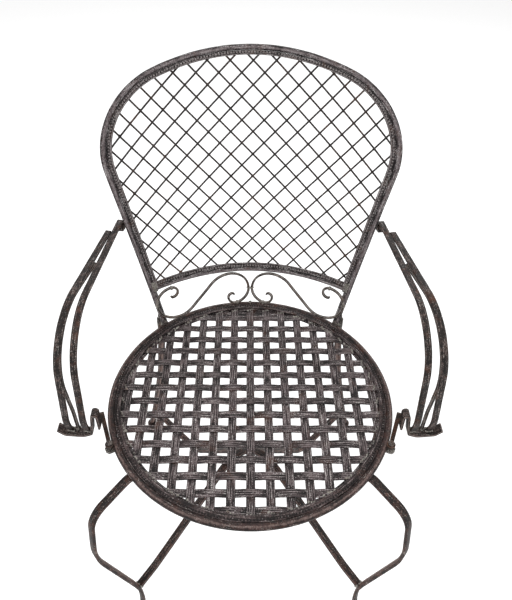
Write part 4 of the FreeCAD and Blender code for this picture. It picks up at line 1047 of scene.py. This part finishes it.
# Legs: half-oval bar with its ridge outside. The front pair bow out at the knee
# from under the rim; the rear pair sweep back from the ear plates.
# Third numbers: the wear-and-shade mark, high on the outer ridge as rubbing and painted highlight,
# low on the sides and flat back as painted shade.
leg_section = [
    (-3, -5.6, 0), (-3, 5.6, 0), (-2.4, 6.25, 0.2), (0.8, 6.25, 0.2), (1.6, 5.5, 0.5),
    (2.2, 3.2, 0.25), (2.95, 0.7, 1), (2.95, -0.7, 1), (2.2, -3.2, 0.25), (1.6, -5.5, 0.5),
    (0.8, -6.25, 0.2), (-2.4, -6.25, 0.2),
]
front_run = bent([(203, -6.3, 0), (213, -6.3, 20), (273, -37.128, 45), (284, -133.042, 130),
                  (226, -330.174, 200), (246, -442, 0)])
rear_run = bent([(13.5, -2, 0), (13.5, -19.006, 60), (41.04, -149.838, 400),
                 (110.048, -339.898, 500), (152, -442, 0)])
FRONT_LEG_PLANE = (SEAT, (0.77273, -0.63473, 0), UP)
REAR_LEG_PLANE = ((144.405, 90.045, 450), (0.50754, 0.86163, 0), UP)
# The same enamel below the seat, less rubbed and redder, and darker as painted shade under the
# seat.
leg_paint = aged_paint(
    "bronze_enamel_shaded_under_seat", "#0B0504 #5E4640 #46291D #907D75 #ADA69F",
    ridge=0.5, tone=(0.98, 1.3), rubbed_and_lit=0.4)
pair("leg_front_{}", "front_leg_{}", (front_run, FRONT_LEG_PLANE, leg_section), leg_paint)
pair("leg_rear_{}", "rear_leg_{}", (rear_run, REAR_LEG_PLANE, leg_section), leg_paint)

# Stretchers: two flat bars arch up and cross under the seat. One runs through;
# the other is cut at the crossing and welded to its sides.
CUT_GAP = 6.1
CROSSING = Vector((0, -21.252, 450))
STRETCHER_BESIDE = Vector((0.72244, 0.69143, 0))
STRETCHER_PLANE = (CROSSING, (0.69143, -0.72244, 0), UP)
stretcher_edge = eased([(-3, -6), (-3, 6), (3, 6), (3, -6)], 1.1)
stretcher_run = bent([(-291.046, -361.114, 0), (-154.975, -364.114, 60), (34, -162.214, 50),
                      (224.979, -285.974, 120), (258.95, -301.002, 0)])
through = bar("stretcher_whole", stretcher_run, STRETCHER_PLANE, stretcher_edge)
for name, side, node in (("stretcher_rear_cut", 1, "stretcher_rear_half"),
                         ("stretcher_front_cut", -1, "stretcher_front_half")):
    away = STRETCHER_BESIDE * side

    def cut_back(shell):
        """Cut the bar off beside the crossing, and close the cut."""
        everything = shell.verts[:] + shell.edges[:] + shell.faces[:]
        cut = bmesh.ops.bisect_plane(
            shell, geom=everything, clear_outer=True, plane_no=-away,
            plane_co=(CROSSING + away * CUT_GAP) * MM)
        edges = [item for item in cut["geom_cut"] if isinstance(item, bmesh.types.BMEdge)]
        bmesh.ops.holes_fill(shell, edges=edges, sides=0)

    half = mirror(through, name)
    reshape(half.data, cut_back)
    dress(half, leg_paint, "painted_bar", node)
dress(through, leg_paint, "painted_bar", "stretcher_through")


# Feet, ear plates, lugs, tabs, bolts and nuts: small steel pieces with their
# edges broken, bolted or welded on before painting.
def merged(shell):
    """Join a CAD mesh's loose triangles into its flat faces."""
    bmesh.ops.remove_doubles(shell, verts=shell.verts, dist=0.002 * MM)
    bmesh.ops.dissolve_limit(
        shell, angle_limit=math.radians(1), verts=shell.verts, edges=shell.edges)


def edge_wear(shell):
    """The wear of each point: 0 on flats, up to 1 where a broken edge turns."""
    bends = [[edge.calc_face_angle(0) for edge in vertex.link_edges] for vertex in shell.verts]
    return [min(1, max(0, (math.degrees(max(bend, default=0)) - 24) / 18)) for bend in bends]


def softened(name, node, width, segments):
    """A copy of a CAD node with merged points, broken edges and their wear."""
    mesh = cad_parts[node].data.copy()
    reshape(mesh, merged)
    rough = placed(name + "_rough", mesh)
    bevel = rough.modifiers.new("broken_edges", "BEVEL")
    bevel.width = width * MM
    bevel.segments = segments
    bevel.limit_method = "ANGLE"
    bevel.angle_limit = math.radians(32)
    piece = applied(rough, name, 38)
    mark(piece.data, "wear_and_shade", reshape(piece.data, edge_wear))
    return piece


# Rust-stained bronze: the tabs rub against the straps, and dull brown rust
# shows through in patches.
rust_paint = aged_paint(
    "rust_stained_bronze", "#130D0A #4A3A32 #4A2A19 #7A685D #A99C90",
    stained=0.55, blotch=10)
for name, node, width, segments, paint, slot in (
    ("rim_tabs_pair", "arm_rim_tabs", 0.7, 2, rust_paint, "painted_bar"),
    ("rim_lugs_pair", "arm_rim_lugs", 0.6, 2, weld_paint, "painted_bar"),
    ("ear_plates_pair", "ear_plates", 0.8, 2, weld_paint, "painted_bar"),
    ("front_feet_pair", "front_feet", 1.6, 3, leg_paint, "painted_bar"),
    ("rear_feet_pair", "rear_feet", 1.6, 3, leg_paint, "painted_bar"),
    ("ear_bolts_pair", "ear_bolts", 1.1, 3, rod_paint, "painted_fastener"),
    ("ear_nuts_pair", "ear_nuts", 0.5, 2, rod_paint, "painted_fastener"),
    ("rim_bolts_pair", "arm_rim_bolts", 1.1, 3, rod_paint, "painted_fastener"),
    ("rim_nuts_pair", "arm_rim_nuts", 0.5, 2, rod_paint, "painted_fastener"),
    ("arm_pins_pair", "arm_back_pins", 0.8, 2, bar_paint, "painted_fastener"),
):
    dress(softened(name, node, width, segments), paint, slot, node)

# Joint welds: short runs of weld metal where the bars, straps and rods meet.
# They were laid by hand, brushed and painted over, so they are lumpy and paler.
joint_places = []


def bead_pair(*points):
    """Places for beads on the right, and their mirror images on the left."""
    for point in points:
        joint_places.extend([point, Vector((-point.x, point.y, point.z))])


def bead_rows(plane, station, rows, half, count=4):
    """Rows of beads across a bar's face, at distances outwards from its middle."""
    for x in rows:
        for step in range(count):
            bead_pair(bar_point(plane, station, x, half * (2 * step / (count - 1) - 1)))


for plane, run, half in ((INNER_PLANE, inner_run, 3.6), (OUTER_PLANE, outer_run, 3.6),
                         (ROD_PLANE, rod_run, 1.2)):
    u, w, angle = run[-1]
    bead_rows(plane, (u, w + 0.6, angle), (-2.2, 2.2), half)
bead_rows(FRONT_LEG_PLANE, front_run[0], (-2.4, 2.4), 4.6)
bead_rows(REAR_LEG_PLANE, rear_run[0], (-2.4, 2.4), 4.6)
for pick, place in ((min, 1), (max, 1), (max, 0), (min, 0)):
    touching = pick(scroll_stations, key=lambda station: station[place])
    bead_rows(SCROLL_PLANE, touching, (-1.2, 1.2), 1.6, 2)
for shift in (-6.5, -4, -1.5, 1.5, 4, 6.5):
    x, rise = rail_line(shift, BOW_WIDTH)[-1]
    bead_pair(*(pressed(x - back, rise, STUD_DEPTH) for back in (-1.4, 0.8, 3.2)))
for inset in (1, 3, 5, 7):
    x, rise = bow_outline(inset, -4.5)[0]
    bead_pair(pressed(x, rise, -4.6), pressed(x, rise, 1.8))
for end in (0, -1):
    bead_rows(STRETCHER_PLANE, stretcher_run[end], (-2.6, 0.6, 2.6), 5, 3)
STRAP_WELD_RADIUS = 189
STRAP_WELD_LIMIT = STRAP_WELD_RADIUS - 6
for own in (LENGTHWISE, CROSSWISE):
    for index in range(own["Straps"]):
        for offset in (-3.6, 0.4, 3.9):
            place = own["First"] + own["Pitch"] * index + offset
            if abs(place) > STRAP_WELD_LIMIT:
                continue
            end = math.sqrt(STRAP_WELD_RADIUS ** 2 - place ** 2) + 0.5 * offset
            for reach in (end, -end):
                flat = (place, reach) if own is LENGTHWISE else (reach, place)
                joint_places.append(SEAT + Vector((*flat, 0.5)))
beaded("joint_welds", joint_places, weld_paint, "painted_bar", 1.9, 0.3, 1.3, 8)
